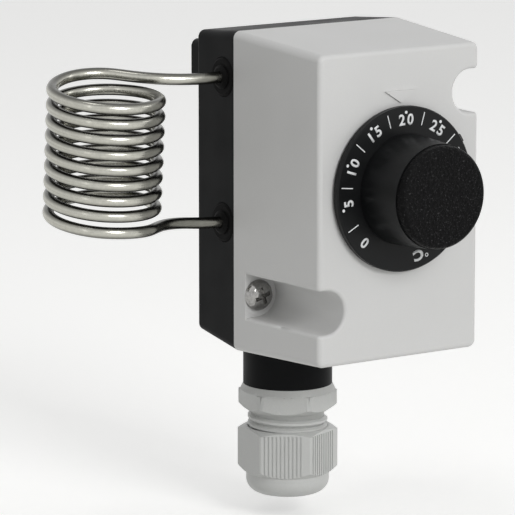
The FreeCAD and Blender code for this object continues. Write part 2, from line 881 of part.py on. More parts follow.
def coil_points():
    """Corner points of the sensing tube, from the upper lead's inner end to the lower lead's inner end."""
    turns = coil_full_turns + coil_part_turn + (lead_join_angle - lead_leave_angle) / 360
    steps = round(turns * coil_steps_per_turn)
    step = 360 * turns / steps
    corner_distance = coil_radius / math.cos(math.radians(step / 2))
    lean = math.tan(math.radians(coil_lean_angle))
    lean_x = math.cos(math.radians(coil_lean_heading))
    lean_y = math.sin(math.radians(coil_lean_heading))
    middle_z = (upper_lead_z + lower_lead_z) / 2
    corners = []
    z = coil_top_z
    for index in range(steps):
        turn = (index + 0.5) * turns / steps
        pitch = coil_pitch if turn < turns - 1 else coil_last_pitch
        z -= pitch * turns / steps / 2
        rise = coil_start_rise / coil_rise_divisor ** index if index < coil_raised_corners else 0
        angle = math.radians(lead_leave_angle + (index + 0.5) * step)
        x = corner_distance * math.cos(angle)
        y = corner_distance * math.sin(angle)
        shift = lean * (z - middle_z)
        drop = lean * (lean_x * x + lean_y * y)
        corners.append(Vector(coil_x + lean_x * shift + x, coil_y + lean_y * shift + y, z - drop + rise))
        z -= pitch * turns / steps / 2
    leave = math.radians(lead_leave_angle)
    reach = (corners[0].y - lead_y) / math.cos(leave)
    upper_corner = Vector(corners[0].x + reach * math.sin(leave), lead_y, upper_lead_z)
    arrive = math.radians(lead_join_angle)
    reach = (lead_y - corners[-1].y) / math.sin(arrive)
    lower_corner = Vector(corners[-1].x + reach * math.cos(arrive), lead_y, lower_lead_z + lower_lead_rise)
    upper_end = Vector(-upper_tube_end_x, lead_y, upper_lead_z)
    lower_wall = Vector(-grommet_seat_x - lower_lead_straight, lead_y, lower_lead_z)
    lower_end = Vector(-lower_tube_end_x, lead_y, lower_lead_z)
    return [upper_end, upper_corner] + corners + [lower_corner, lower_wall, lower_end]


def make_sensor_coil():
    """Coiled sensing tube with its two bent leads."""
    save("sensor_coil", bent_tube(coil_points(), tube_radius))


def make_grommet(name, z):
    """Rubber bushing with a stepped outer flange and a lip inside the wall."""
    bore = tube_radius + grommet_bore_clearance
    seat = -grommet_seat_x
    flange = seat - grommet_flange_thickness
    dome = flange - grommet_dome_height
    inner = seat + grommet_inner_gap
    inner_end = inner + grommet_inner_flange_thickness
    profile = [
        (bore, dome),
        (grommet_dome_radius - 0.8, dome),
        (grommet_dome_radius, dome + 0.5),
        (grommet_dome_radius, flange),
        (grommet_flange_radius - 0.5, flange),
        (grommet_flange_radius, flange + 0.4),
        (grommet_flange_radius, seat),
        (grommet_neck_radius, seat),
        (grommet_neck_radius, inner),
        (grommet_inner_flange_radius, inner),
        (grommet_inner_flange_radius - 0.4, inner_end),
        (bore, inner_end),
    ]
    save(name, turned_x(profile, lead_y, z))


def make_coil_end_cap():
    """Brazed cap on the closed end of the upper lead."""
    start = -upper_tube_end_x - end_sleeve_length + end_cap_wall
    end = -upper_tube_end_x + end_cap_wall
    bore = tube_radius + braze_clearance
    profile = [(bore, start), (end_sleeve_radius, start), (end_sleeve_radius, end), (0, end)]
    profile += [(0, -upper_tube_end_x + braze_clearance), (bore, -upper_tube_end_x + braze_clearance)]
    save("coil_end_cap", turned_x(profile, lead_y, upper_lead_z))


def make_capillary_joint():
    """Brazed sleeve from the lower lead to the thin capillary."""
    start = -lower_tube_end_x - end_sleeve_length + end_cap_wall
    seat = -lower_tube_end_x + braze_clearance
    end = -lower_tube_end_x + end_cap_wall
    bore = tube_radius + braze_clearance
    small = capillary_radius + braze_clearance
    profile = [
        (bore, start),
        (end_sleeve_radius, start),
        (end_sleeve_radius, end),
        (small, end),
        (small, seat),
        (bore, seat),
    ]
    save("capillary_joint", turned_x(profile, lead_y, lower_lead_z))


def make_capillary_tube():
    """Thin tube from the brazed sleeve to the back of the capsule."""
    boss_y = capsule_back_y() + capsule_back_height / 2
    points = [
        Vector(-lower_tube_end_x + 2 * braze_clearance, lead_y, lower_lead_z),
        Vector(-lower_tube_end_x + capillary_first_run, lead_y, lower_lead_z),
        Vector(
            -lower_tube_end_x + capillary_bend_reach,
            lead_y + capillary_bend_depth,
            lower_lead_z + capillary_bend_rise,
        ),
        Vector(-chassis_half_width + capillary_side_inset, boss_y, lower_lead_z + capillary_side_rise),
        Vector(-capsule_back_radius - capillary_end_run, boss_y, dial_z),
        Vector(-capsule_back_radius + capillary_seat_depth, boss_y, dial_z),
    ]
    save("capillary_tube", bent_tube(points, capillary_radius, 0.45))


def capsule_back_y():
    """Depth where the capsule's rear boss starts."""
    return capsule_front_y + capsule_rim + 2 * capsule_bulge


def make_diaphragm_capsule():
    """Pressed metal capsule with a rear boss and a neck riveted through the chassis."""
    rim_front = capsule_front_y + capsule_bulge
    rim_back = rim_front + capsule_rim
    back = capsule_back_y()
    bore = push_pin_radius + lever_pin_clearance
    bore_end = push_pin_front_y + push_pin_length + push_pin_room
    neck_end = plate_front_y - capsule_neck_stand
    profile = [
        (0, back + capsule_back_height),
        (capsule_back_radius, back + capsule_back_height),
        (capsule_back_radius, back),
        (capsule_radius * 0.66, back - 0.3),
        (capsule_radius, rim_back),
        (capsule_radius, rim_front),
        (capsule_radius * 0.66, capsule_front_y + 0.3),
        (capsule_seat_radius, capsule_front_y),
        (capsule_seat_radius, plate_back_y),
        (capsule_neck_radius, plate_back_y),
        (capsule_neck_radius, neck_end),
        (bore, neck_end),
        (bore, bore_end),
        (0, bore_end),
    ]
    capsule = turned_y(profile, 0, dial_z)
    boss_y = back + capsule_back_height / 2
    socket_start = Vector(-capsule_back_radius - 1, boss_y, dial_z)
    socket = rod(
        capillary_radius + braze_clearance,
        socket_start,
        Vector(-capsule_back_radius + capillary_socket_depth, boss_y, dial_z),
    )
    save("diaphragm_capsule", capsule.cut(socket))


def make_capsule_pin():
    """Push pin that slides in the capsule's neck."""
    save(
        "capsule_pin", rod_y(push_pin_radius, 0, dial_z, push_pin_front_y + push_pin_length, push_pin_front_y)
    )


def make_chassis():
    """Folded steel channel: back plate, two legs and two ears for the lever's pin."""
    width = chassis_half_width
    plate = box(-width, width, plate_front_y, plate_back_y, chassis_bottom, chassis_top)
    pieces = [plate]
    for side in (-1, 1):
        inner = side * (width - chassis_thickness)
        outer = side * width
        pieces.append(box(min(inner, outer), max(inner, outer), leg_end_y, plate_back_y, leg_bottom, leg_top))
        ear_inner = side * (lever_width / 2 + ear_gap)
        ear_outer = side * (lever_width / 2 + ear_gap + chassis_thickness)
        ear_x = (min(ear_inner, ear_outer), max(ear_inner, ear_outer))
        pieces.append(
            box(*ear_x, lever_pivot_y, plate_back_y, lever_pivot_z - ear_radius, lever_pivot_z + ear_radius)
        )
        pieces.append(
            rod(
                ear_radius,
                Vector(ear_x[0], lever_pivot_y, lever_pivot_z),
                Vector(ear_x[1], lever_pivot_y, lever_pivot_z),
            )
        )
    body = join(pieces)
    shortest_fold = (leg_top - leg_bottom) * 0.8
    folds = []
    for edge in body.Edges:
        if len(edge.Vertexes) == 2:
            first, second = [vertex.Point for vertex in edge.Vertexes]
            along_z = abs(first.z - second.z) > shortest_fold
            if along_z and abs(abs(first.x) - width) < 1e-6 and abs(first.y - plate_back_y) < 1e-6:
                folds.append(edge)
    body = body.makeFillet(chassis_fold_radius, folds)
    body = body.cut(
        rod_y(capsule_neck_radius + capsule_neck_clearance, 0, dial_z, plate_front_y - 1, plate_back_y + 1)
    )
    for x in (-post_x, post_x):
        for z in (post_top_z, post_bottom_z):
            body = body.cut(rod_y(small_screw_hole, x, z, plate_front_y - 1, plate_back_y + 1))
    pin_hole = lever_pin_radius + thread_seat_clearance
    body = body.cut(
        rod(
            pin_hole,
            Vector(-width, lever_pivot_y, lever_pivot_z),
            Vector(width, lever_pivot_y, lever_pivot_z),
        )
    )
    for y, z, radius in leg_holes():
        body = body.cut(rod(radius, Vector(-width - 1, y, z), Vector(width + 1, y, z)))
    save("chassis", body)


def leg_holes():
    """Depth, height and radius of the holes through both legs."""
    holes = [(switch_back_y - side_screw_setback, side_screw_z, small_screw_hole)]
    for z in rivet_heights():
        holes.append((rivet_y(), z, rivet_radius + bracket_fit))
    return holes


def rivet_y():
    """Depth of the bracket's rivets."""
    return bracket_back_y + bracket_flange_length / 2


def rivet_heights():
    """Heights of the bracket's rivets."""
    return [dial_z - rivet_spacing / 2, dial_z + rivet_spacing / 2]


def make_chassis_screws():
    """Four screws that hold the chassis on the base's posts."""
    screws = []
    for x in (-post_x, post_x):
        for z in (post_top_z, post_bottom_z):
            screw = pan_screw(
                small_screw_head_radius, small_screw_head_height, small_screw_radius, small_screw_length
            )
            screw.translate(Vector(x, plate_front_y, z))
            screws.append(screw)
    save("chassis_screws", Part.makeCompound(screws))


def make_spindle_bracket():
    """Flat bridge with two flanges folded back between the legs."""
    inside = chassis_half_width - chassis_thickness - bracket_fit
    bottom = dial_z - bracket_half_height
    top = dial_z + bracket_half_height
    flange_end = bracket_back_y + bracket_flange_length
    pieces = [box(-inside, inside, bracket_front_y, bracket_back_y, bottom, top)]
    for x0, x1 in ((-inside, -inside + chassis_thickness), (inside - chassis_thickness, inside)):
        pieces.append(box(x0, x1, bracket_front_y, flange_end, bottom, top))
    body = join(pieces)
    body = body.cut(rod_y(bush_radius + bracket_fit, 0, dial_z, bracket_front_y - 1, bracket_back_y + 1))
    for z in rivet_heights():
        hole = rivet_radius + bracket_fit
        body = body.cut(rod(hole, Vector(-inside - 1, rivet_y(), z), Vector(inside + 1, rivet_y(), z)))
    save("spindle_bracket", body)


def make_bracket_rivets():
    """Four rivets through the legs and the bracket's flanges."""
    rivets = []
    inner = chassis_half_width - 2 * chassis_thickness - bracket_fit
    outer = chassis_half_width
    for side in (-1, 1):
        for z in rivet_heights():
            shank = rod(rivet_radius, Vector(side * inner, rivet_y(), z), Vector(side * outer, rivet_y(), z))
            head = rod(
                rivet_head_radius,
                Vector(side * outer, rivet_y(), z),
                Vector(side * (outer + rivet_head_height), rivet_y(), z),
            )
            rivets.append(join([shank, head]))
    save("bracket_rivets", Part.makeCompound(rivets))


def make_spindle_bush():
    """Brass bush pressed into the bracket."""
    bore = spindle_radius + spindle_fit
    profile = [
        (bore, bush_back_y),
        (bush_radius, bush_back_y),
        (bush_radius, bracket_front_y),
        (bush_flange_radius, bracket_front_y),
        (bush_flange_radius, bracket_front_y - bush_flange_height),
        (bore, bracket_front_y - bush_flange_height),
    ]
    save("spindle_bush", turned_y(profile, 0, dial_z))


def make_range_nut():
    """Bar that the spindle's thread draws in and out between the legs."""
    half = chassis_half_width - chassis_thickness - range_nut_clearance
    low = dial_z - range_nut_height / 2
    high = dial_z + range_nut_height / 2
    bar = box(-half, half, range_nut_front_y, range_nut_back_y, low, high)
    nose = rod_y(range_nose_radius, 0, dial_z, range_nut_back_y, range_nose_y)
    hole = rod_y(adjust_thread_radius + spindle_fit, 0, dial_z, range_nut_front_y - 1, range_nose_y + 1)
    save("range_nut", join([bar, nose]).cut(hole))


def make_range_leaf():
    """Bowed leaf spring on the front of the lever."""
    low = dial_z - leaf_half_span
    high = dial_z + leaf_half_span
    start_y = lever_front_y
    crest = leaf_crest_y
    def arc(reach, shift):
        points = [
            Vector(-leaf_width / 2, start_y, low - reach), Vector(-leaf_width / 2, crest - shift, dial_z)
        ]
        points.append(Vector(-leaf_width / 2, start_y, high + reach))
        return points
    outer = arc(leaf_thickness, 0)
    inner = arc(0, -leaf_thickness)
    edges = [
        Part.Arc(*outer).toShape(),
        Part.makeLine(outer[2], inner[2]),
        Part.Arc(inner[2], inner[1], inner[0]).toShape(),
        Part.makeLine(inner[0], outer[0]),
    ]
    save("range_leaf", Part.Face(Part.Wire(edges)).extrude(Vector(leaf_width, 0, 0)))


def make_transfer_lever():
    """Flat steel lever with a rolled knuckle round its pin."""
    half = lever_width / 2
    strip = box(-half, half, lever_front_y, lever_back_y, lever_bottom, lever_pivot_z)
    knuckle = rod(
        lever_knuckle_radius,
        Vector(-half, lever_pivot_y, lever_pivot_z),
        Vector(half, lever_pivot_y, lever_pivot_z),
    )
    body = join([strip, knuckle])
    hole = lever_pin_radius + lever_pin_clearance
    body = body.cut(
        rod(
            hole,
            Vector(-half - 1, lever_pivot_y, lever_pivot_z),
            Vector(half + 1, lever_pivot_y, lever_pivot_z),
        )
    )
    save("transfer_lever", body)


def make_lever_pin():
    """Headed pin through the ears and the lever's knuckle."""
    reach = lever_width / 2 + ear_gap + chassis_thickness
    pieces = [
        rod(
            lever_pin_radius,
            Vector(-reach, lever_pivot_y, lever_pivot_z),
            Vector(reach, lever_pivot_y, lever_pivot_z),
        )
    ]
    for side in (-1, 1):
        start = Vector(side * reach, lever_pivot_y, lever_pivot_z)
        pieces.append(rod(pin_head_radius, start, start + Vector(side * pin_head_height, 0, 0)))
    save("lever_pin", join(pieces))


def terminal_places():
    """X of each terminal."""
    middle = (terminal_count - 1) / 2
    return [(index - middle) * terminal_pitch for index in range(terminal_count)]


def make_switch_case():
    """Moulded snap switch case with a plunger bore and three terminal pockets."""
    half = chassis_half_width - chassis_thickness - switch_side_clearance
    body = box(-half, half, switch_front_y, switch_back_y, switch_bottom, switch_top)
    body = body.makeFillet(switch_edge_radius, edges_at(body, switch_front_y))
    bore_depth = plunger_inside + plunger_room
    body = body.cut(
        rod_y(plunger_radius + plunger_clearance, 0, plunger_z, switch_back_y - bore_depth, switch_back_y + 1)
    )
    pocket_half = terminal_width / 2 + pocket_clearance
    pocket_back = switch_front_y + terminal_setback + terminal_depth + pocket_clearance
    pocket_top = switch_bottom + terminal_height + 1 + pocket_clearance
    for x in terminal_places():
        body = body.cut(
            box(
                x - pocket_half,
                x + pocket_half,
                switch_front_y - 1,
                pocket_back,
                switch_bottom - 1,
                pocket_top,
            )
        )
    screw_y = switch_back_y - side_screw_setback
    for side in (-1, 1):
        start = Vector(side * (half + 1), screw_y, side_screw_z)
        end = Vector(side * (half - side_screw_depth), screw_y, side_screw_z)
        body = body.cut(rod(small_screw_radius + thread_seat_clearance, start, end))
    save("switch_case", body)


def make_switch_plunger():
    """Plunger between lever and switch."""
    plunger = rod_y(
        plunger_radius, 0, plunger_z, switch_back_y - plunger_inside, lever_front_y - push_pin_gap
    )
    save("switch_plunger", plunger)


def make_switch_screws():
    """Two screws from the legs into the switch case."""
    screws = []
    inside = chassis_thickness + switch_side_clearance + side_screw_depth
    for side in (-1, 1):
        screw = pan_screw(
            small_screw_head_radius, small_screw_head_height, small_screw_radius, inside - side_screw_end_room
        )
        screw.rotate(Vector(0, 0, 0), Vector(0, 0, 1), 90 * side)
        screw.translate(Vector(side * chassis_half_width, switch_back_y - side_screw_setback, side_screw_z))
        screws.append(screw)
    save("switch_screws", Part.makeCompound(screws))


def make_terminals():
    """Three brass clamps in the switch case, each with its screw."""
    clamps = []
    screws = []
    front = switch_front_y + terminal_setback
    back = front + terminal_depth
    low = switch_bottom + 1
    high = low + terminal_height
    for x in terminal_places():
        half = terminal_width / 2
        clamp = box(x - half, x + half, front, back, low, high)
        space = half - terminal_wall
        clamp = clamp.cut(
            box(x - space, x + space, front + terminal_wall, back - terminal_wall, low - 1, high + 1)
        )
        middle_z = (low + high) / 2
        clamp = clamp.cut(
            rod_y(
                small_screw_radius + thread_seat_clearance,
                x,
                middle_z,
                front - 1,
                front + terminal_wall + 0.1,
            )
        )
        clamps.append(clamp)
        screw = pan_screw(
            terminal_screw_head_radius,
            terminal_screw_head_height,
            small_screw_radius,
            terminal_wall + terminal_screw_reach,
        )
        screw.translate(Vector(x, front, middle_z))
        screws.append(screw)
    save("terminal_clamps", Part.makeCompound(clamps))
    save("terminal_screws", Part.makeCompound(screws))


def make_earth_terminal():
    """Earth clamp plate and its screw on a post of the base."""
    top_y = floor_y - earth_post_height
    half_x = earth_plate_width / 2
    half_z = earth_plate_length / 2
    plate = box(-half_x, half_x, -earth_plate_thickness, 0, -half_z, half_z)
    lips = [
        box(
            x, x + earth_plate_thickness, 0, earth_lip, -half_z, half_z
        ) for x in (-half_x, half_x - earth_plate_thickness)
    ]
    clamp = join([plate] + lips)
    clamp = clamp.cut(rod_y(small_screw_hole, 0, 0, -earth_plate_thickness - 1, 1))
    clamp.translate(Vector(earth_x, top_y, earth_z))
    save("earth_clamp", clamp)
    screw = pan_screw(
        small_screw_head_radius, small_screw_head_height, small_screw_radius, earth_screw_length
    )
    screw.translate(Vector(earth_x, top_y - earth_plate_thickness, earth_z))
    save("earth_screw", screw)


def hex_prism(across_flats, corner_angle, z0, z1):
    """Hexagonal prism on the gland's axis."""
    radius = across_flats / 2 / math.cos(math.pi / 6)
    points = []
    for index in range(6):
        angle = math.radians(corner_angle + 60 * index)
        points.append(Vector(gland_x + radius * math.cos(angle), gland_y + radius * math.sin(angle), z0))
    return Part.Face(Part.makePolygon(points + points[:1])).extrude(Vector(0, 0, z1 - z0))


def make_gland_body():
    """Cable gland body: entry thread, collar, clamping thread and claws."""
    flange_bottom = neck_bottom_z - collar_flange_height
    flange = turned_z([
        (0, neck_bottom_z),
        (collar_face_radius, neck_bottom_z),
        (collar_flange_radius, flange_bottom + 0.3),
        (collar_flange_radius, flange_bottom),
        (0, flange_bottom),
    ], gland_x, gland_y)
    envelope = turned_z([
        (0, flange_bottom),
        (collar_corner_radius, flange_bottom),
        (collar_corner_radius, collar_bottom_z + collar_chamfer_height),
        (collar_end_radius, collar_bottom_z),
        (0, collar_bottom_z),
    ], gland_x, gland_y)
    collar = hex_prism(
        gland_across_flats, collar_corner_angle, collar_bottom_z, flange_bottom
    ).common(envelope)
    entry_radius = entry_thread_radius - thread_seat_clearance
    entry = rod_z(entry_radius, gland_x, gland_y, neck_bottom_z - 0.5, neck_bottom_z + entry_thread_length)
    thread = rod_z(clamp_thread_radius, gland_x, gland_y, thread_end_z, collar_bottom_z + 0.5)
    body = join([flange, collar, entry, thread])
    body = body.cut(
        rod_z(gland_bore_radius, gland_x, gland_y, claw_end_z - 1, neck_bottom_z + entry_thread_length + 1)
    )
    seat_top_z = seal_bottom_z + cable_seal_length + nut_gap
    body = body.cut(rod_z(seal_seat_radius, gland_x, gland_y, claw_end_z - 1, seat_top_z))
    groove_outer = rod_z(
        o_ring_groove_radius + o_ring_width, gland_x, gland_y, neck_bottom_z - o_ring_depth, neck_bottom_z + 1
    )
    groove = groove_outer.cut(
        rod_z(o_ring_groove_radius, gland_x, gland_y, neck_bottom_z - 2, neck_bottom_z + 2)
    )
    body = body.cut(groove)
    claws = turned_z([
        (seal_seat_radius, thread_end_z + 0.5),
        (claw_root_radius, thread_end_z + 0.5),
        (claw_root_radius, claw_end_z + claw_length - claw_straight),
        (claw_tip_radius, claw_end_z),
        (seal_seat_radius, claw_end_z),
    ], gland_x, gland_y)
    for index in range(claw_count):
        half = claw_slot_width / 2
        slot = box(seal_seat_radius - 1, claw_root_radius + 1, -half, half, claw_end_z - 1, thread_end_z)
        slot.rotate(Vector(0, 0, 0), Vector(0, 0, 1), 360 * index / claw_count)
        slot.translate(Vector(gland_x, gland_y, 0))
        claws = claws.cut(slot)
    save("gland_body", join([body, claws]))


def make_gland_o_ring():
    """Sealing ring in the face of the gland's collar."""
    outer = o_ring_groove_radius + o_ring_width - seam_clearance
    inner = o_ring_groove_radius + seam_clearance
    ring = rod_z(outer, gland_x, gland_y, neck_bottom_z - o_ring_depth, neck_bottom_z)
    save("gland_o_ring", ring.cut(rod_z(inner, gland_x, gland_y, neck_bottom_z - 2, neck_bottom_z + 1)))


def make_gland_seal():
    """Rubber sleeve that grips the cable."""
    top = seal_bottom_z + cable_seal_length
    profile = [
        (cable_seal_bore, seal_bottom_z),
        (cable_seal_radius, seal_bottom_z),
        (cable_seal_radius, top - 0.8),
        (cable_seal_radius - 0.8, top),
        (cable_seal_bore, top),
    ]
    save("gland_seal", turned_z(profile, gland_x, gland_y))


def make_gland_nut():
    """Clamping nut: chamfered hexagon with ribbed faces, round end and a cone inside."""
    hex_bottom_z = nut_top_z - nut_hex_length
    round_top_z = hex_bottom_z - nut_chamfer_height
    end_z = round_top_z - nut_round_length
    outline = [
        Vector(gland_x, gland_y, nut_top_z),
        Vector(gland_x + nut_face_radius, gland_y, nut_top_z),
        Vector(gland_x + nut_corner_radius, gland_y, nut_top_z - nut_top_chamfer),
        Vector(gland_x + nut_corner_radius, gland_y, hex_bottom_z),
        Vector(gland_x + nut_round_radius, gland_y, round_top_z),
        Vector(gland_x + nut_round_radius, gland_y, end_z),
    ]
    end_centre_x = nut_end_flat_radius
    drop = end_z - nut_bottom_z
    middle = Vector(
        gland_x + end_centre_x + (nut_round_radius - end_centre_x) * math.cos(math.pi / 4),
        gland_y,
        end_z - drop * math.sin(math.pi / 4),
    )
    edges = [Part.makeLine(outline[index], outline[index + 1]) for index in range(len(outline) - 1)]
    end_point = Vector(gland_x + nut_end_flat_radius, gland_y, nut_bottom_z)
    edges.append(Part.Arc(outline[-1], middle, end_point).toShape())
    edges.append(Part.makeLine(end_point, Vector(gland_x, gland_y, nut_bottom_z)))
    edges.append(Part.makeLine(Vector(gland_x, gland_y, nut_bottom_z), outline[0]))
    envelope = Part.Face(Part.Wire(edges)).revolve(Vector(gland_x, gland_y, 0), Vector(0, 0, 1), 360)
    body = hex_prism(gland_across_flats, nut_corner_angle, nut_bottom_z, nut_top_z).common(envelope)
    thread_bore = clamp_thread_radius + nut_thread_clearance
    thread_stop_z = nut_top_z - nut_thread_length
    cone_top_z = seal_bottom_z + nut_cone_length
    hollow = turned_z([
        (0, nut_top_z + 1),
        (thread_bore, nut_top_z + 1),
        (thread_bore, thread_stop_z),
        (nut_cone_top_radius, thread_stop_z),
        (nut_cone_top_radius, cone_top_z),
        (nut_cone_radius, seal_bottom_z),
        (0, seal_bottom_z),
    ], gland_x, gland_y)
    body = body.cut(hollow)
    body = body.cut(rod_z(nut_mouth_radius, gland_x, gland_y, nut_bottom_z - 1, seal_bottom_z + 1))
    face_distance = gland_across_flats / 2
    rib_bottom_z = nut_top_z - nut_hex_length - nut_chamfer_height
    for face in (0, 1, 3, 4):
        for groove in range(rib_count + 1):
            across = (groove - rib_count / 2) * rib_pitch + rib_shift
            cut = box(
                face_distance - rib_groove_depth, face_distance + 1,
                across - rib_groove_width / 2, across + rib_groove_width / 2,
                rib_bottom_z, nut_top_z - nut_top_chamfer,
            )
            cut.rotate(Vector(0, 0, 0), Vector(0, 0, 1), nut_corner_angle + 30 + 60 * face)
            cut.translate(Vector(gland_x, gland_y, 0))
            body = body.cut(cut)
    save("gland_nut", body)


make_base_housing()
make_housing_gasket()
make_cover()
make_spindle_seal()
make_cover_screws()
make_dial_knob()
make_knob_cap()
make_limit_ring()
make_setpoint_spindle()
make_spindle_clip()
make_sensor_coil()
make_grommet("upper_grommet", upper_lead_z)
make_grommet("lower_grommet", lower_lead_z)
make_coil_end_cap()
make_capillary_joint()
make_capillary_tube()
make_diaphragm_capsule()
make_capsule_pin()
make_chassis()
make_chassis_screws()
make_spindle_bracket()
make_bracket_rivets()
make_spindle_bush()
make_range_nut()
make_range_leaf()
make_transfer_lever()
make_lever_pin()
make_switch_case()
make_switch_plunger()
make_switch_screws()
make_terminals()
make_earth_terminal()
make_gland_body()
make_gland_o_ring()
make_gland_seal()
make_gland_nut()
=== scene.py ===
import math

import bpy
from mathutils import Matrix, Vector


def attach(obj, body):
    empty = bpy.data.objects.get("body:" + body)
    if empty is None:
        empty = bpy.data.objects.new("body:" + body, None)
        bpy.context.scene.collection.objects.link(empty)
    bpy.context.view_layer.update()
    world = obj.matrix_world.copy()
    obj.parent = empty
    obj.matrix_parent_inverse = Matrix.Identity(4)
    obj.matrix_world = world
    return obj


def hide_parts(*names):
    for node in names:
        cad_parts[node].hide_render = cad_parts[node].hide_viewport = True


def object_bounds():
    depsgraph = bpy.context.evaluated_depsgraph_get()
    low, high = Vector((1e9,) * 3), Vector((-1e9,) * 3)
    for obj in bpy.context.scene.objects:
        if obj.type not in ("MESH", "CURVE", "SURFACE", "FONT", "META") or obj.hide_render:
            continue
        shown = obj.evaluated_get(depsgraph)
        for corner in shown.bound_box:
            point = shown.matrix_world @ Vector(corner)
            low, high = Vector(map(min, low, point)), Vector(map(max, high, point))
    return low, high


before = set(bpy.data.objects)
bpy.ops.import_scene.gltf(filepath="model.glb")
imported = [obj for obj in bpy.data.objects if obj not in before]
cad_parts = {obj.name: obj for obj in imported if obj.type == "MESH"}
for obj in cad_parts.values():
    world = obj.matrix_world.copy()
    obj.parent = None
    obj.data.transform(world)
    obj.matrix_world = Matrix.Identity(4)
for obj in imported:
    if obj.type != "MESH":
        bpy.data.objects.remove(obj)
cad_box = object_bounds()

bl_info = {
    "name": "Capillary Thermostat Builder",
    "version": (1, 0, 0),
    "blender": (4, 5, 0),
    "location": "View3D > Sidebar > Thermostat",
    "description": "Gives a capillary thermostat its finishes, dial print, gland thread and studio",
    "category": "Object",
}

MM = 0.001


# Colours and shader nodes

def linear(hex_code):
    """Turns an sRGB hex colour into the linear colour that a shader takes."""
    parts = [int(hex_code[i:i + 2], 16) / 255 for i in (1, 3, 5)]
    return tuple(p / 12.92 if p <= 0.04045 else ((p + 0.055) / 1.055) ** 2.4 for p in parts) + (1.0,)


def darker(colour, share):
    """The same colour with only that share of its light."""
    return tuple(part * share for part in tuple(colour)[:3]) + (1.0,)


def add_node(tree, kind, place, values=None, links=None, settings=None, stops=None):
    """Adds one shader node with its socket values, its incoming links, its settings and its ramp stops."""
    node = tree.nodes.new(kind)
    node.location = place
    for name, value in (settings or {}).items():
        setattr(node, name, value)
    for name, value in (values or {}).items():
        node.inputs[name].default_value = value
    for name, source in (links or {}).items():
        tree.links.new(source, node.inputs[name])
    for index, (position, colour) in enumerate(stops or ()):
        element = node.color_ramp.elements[index] if index < 2 else node.color_ramp.elements.new(position)
        element.position = position
        element.color = colour
    return node


def blank_material(name):
    """Starts an empty material and returns it, its node tree and the piece's own coordinates in metres."""
    material = bpy.data.materials.new(name)
    material.use_nodes = True
    tree = material.node_tree
    tree.nodes.clear()
    place = add_node(tree, "ShaderNodeTexCoord", (-1200, 0)).outputs["Object"]
    return material, tree, place


def seen_rays(tree):
    """1 for the rays that show a backdrop to the eye, straight, mirrored or through glass. 0 for the rest."""
    rays = add_node(tree, "ShaderNodeLightPath", (-1100, -300))
    direct = add_node(
        tree, "ShaderNodeMath", (-900, -300),
        links={0: rays.outputs["Is Camera Ray"], 1: rays.outputs["Is Glossy Ray"]},
        settings={"operation": "MAXIMUM"},
    )
    every = add_node(
        tree, "ShaderNodeMath", (-700, -300),
        links={0: direct.outputs["Value"], 1: rays.outputs["Is Transmission Ray"]},
        settings={"operation": "MAXIMUM"},
    )
    return every.outputs["Value"]


def close_material(tree, surface):
    """Links the finished surface to the material's output."""
    add_node(tree, "ShaderNodeOutputMaterial", (700, 0), links={"Surface": surface.outputs["BSDF"]})


def moulded_plastic(name, colour, grain, depth, roughness, shade=0.93, cloud=9.0, gleam=0.5):
    """Injection-moulded plastic: a spark-eroded skin of that grain and depth in mm over faint flow clouds.

    The grain breaks highlights into a soft sheen. The clouds, in mm, are the slow change of tone of a large
    moulding. shade is how dark the clouds and the pits of the grain get. gleam is how much of the room the
    skin mirrors, which is less on a fibre-filled or blasted surface.
    """
    material, tree, place = blank_material(name)
    flow = add_node(
        tree, "ShaderNodeTexNoise", (-900, 250),
        values={"Scale": 1 / (cloud * MM), "Detail": 2.0, "Roughness": 0.45},
        links={"Vector": place},
    )
    skin = add_node(
        tree, "ShaderNodeTexNoise", (-900, -150),
        values={"Scale": 1 / (grain * MM), "Detail": 3.0, "Roughness": 0.6},
        links={"Vector": place},
    )
    tone = add_node(
        tree, "ShaderNodeMath", (-650, 150),
        links={0: flow.outputs["Fac"], 1: skin.outputs["Fac"]},
        settings={"operation": "MULTIPLY"},
    )
    tint = add_node(
        tree, "ShaderNodeValToRGB", (-400, 200),
        links={"Fac": tone.outputs["Value"]},
        stops=[(0.1, darker(colour, shade)), (0.4, tuple(colour))],
    )
    sheen = add_node(
        tree, "ShaderNodeMapRange", (-400, -100),
        values={"From Min": 0.3, "From Max": 0.7, "To Min": roughness - 0.05, "To Max": roughness + 0.05},
        links={"Value": flow.outputs["Fac"]},
    )
    relief = add_node(
        tree, "ShaderNodeBump", (-400, -350),
        values={"Strength": 0.7, "Distance": depth * MM},
        links={"Height": skin.outputs["Fac"]},
    )
    surface = add_node(
        tree, "ShaderNodeBsdfPrincipled", (300, 0),
        values={"IOR": 1.53, "Specular IOR Level": gleam},
        links={
            "Base Color": tint.outputs["Color"],
            "Roughness": sheen.outputs["Result"],
            "Normal": relief.outputs["Normal"],
        },
    )
    close_material(tree, surface)
    return material


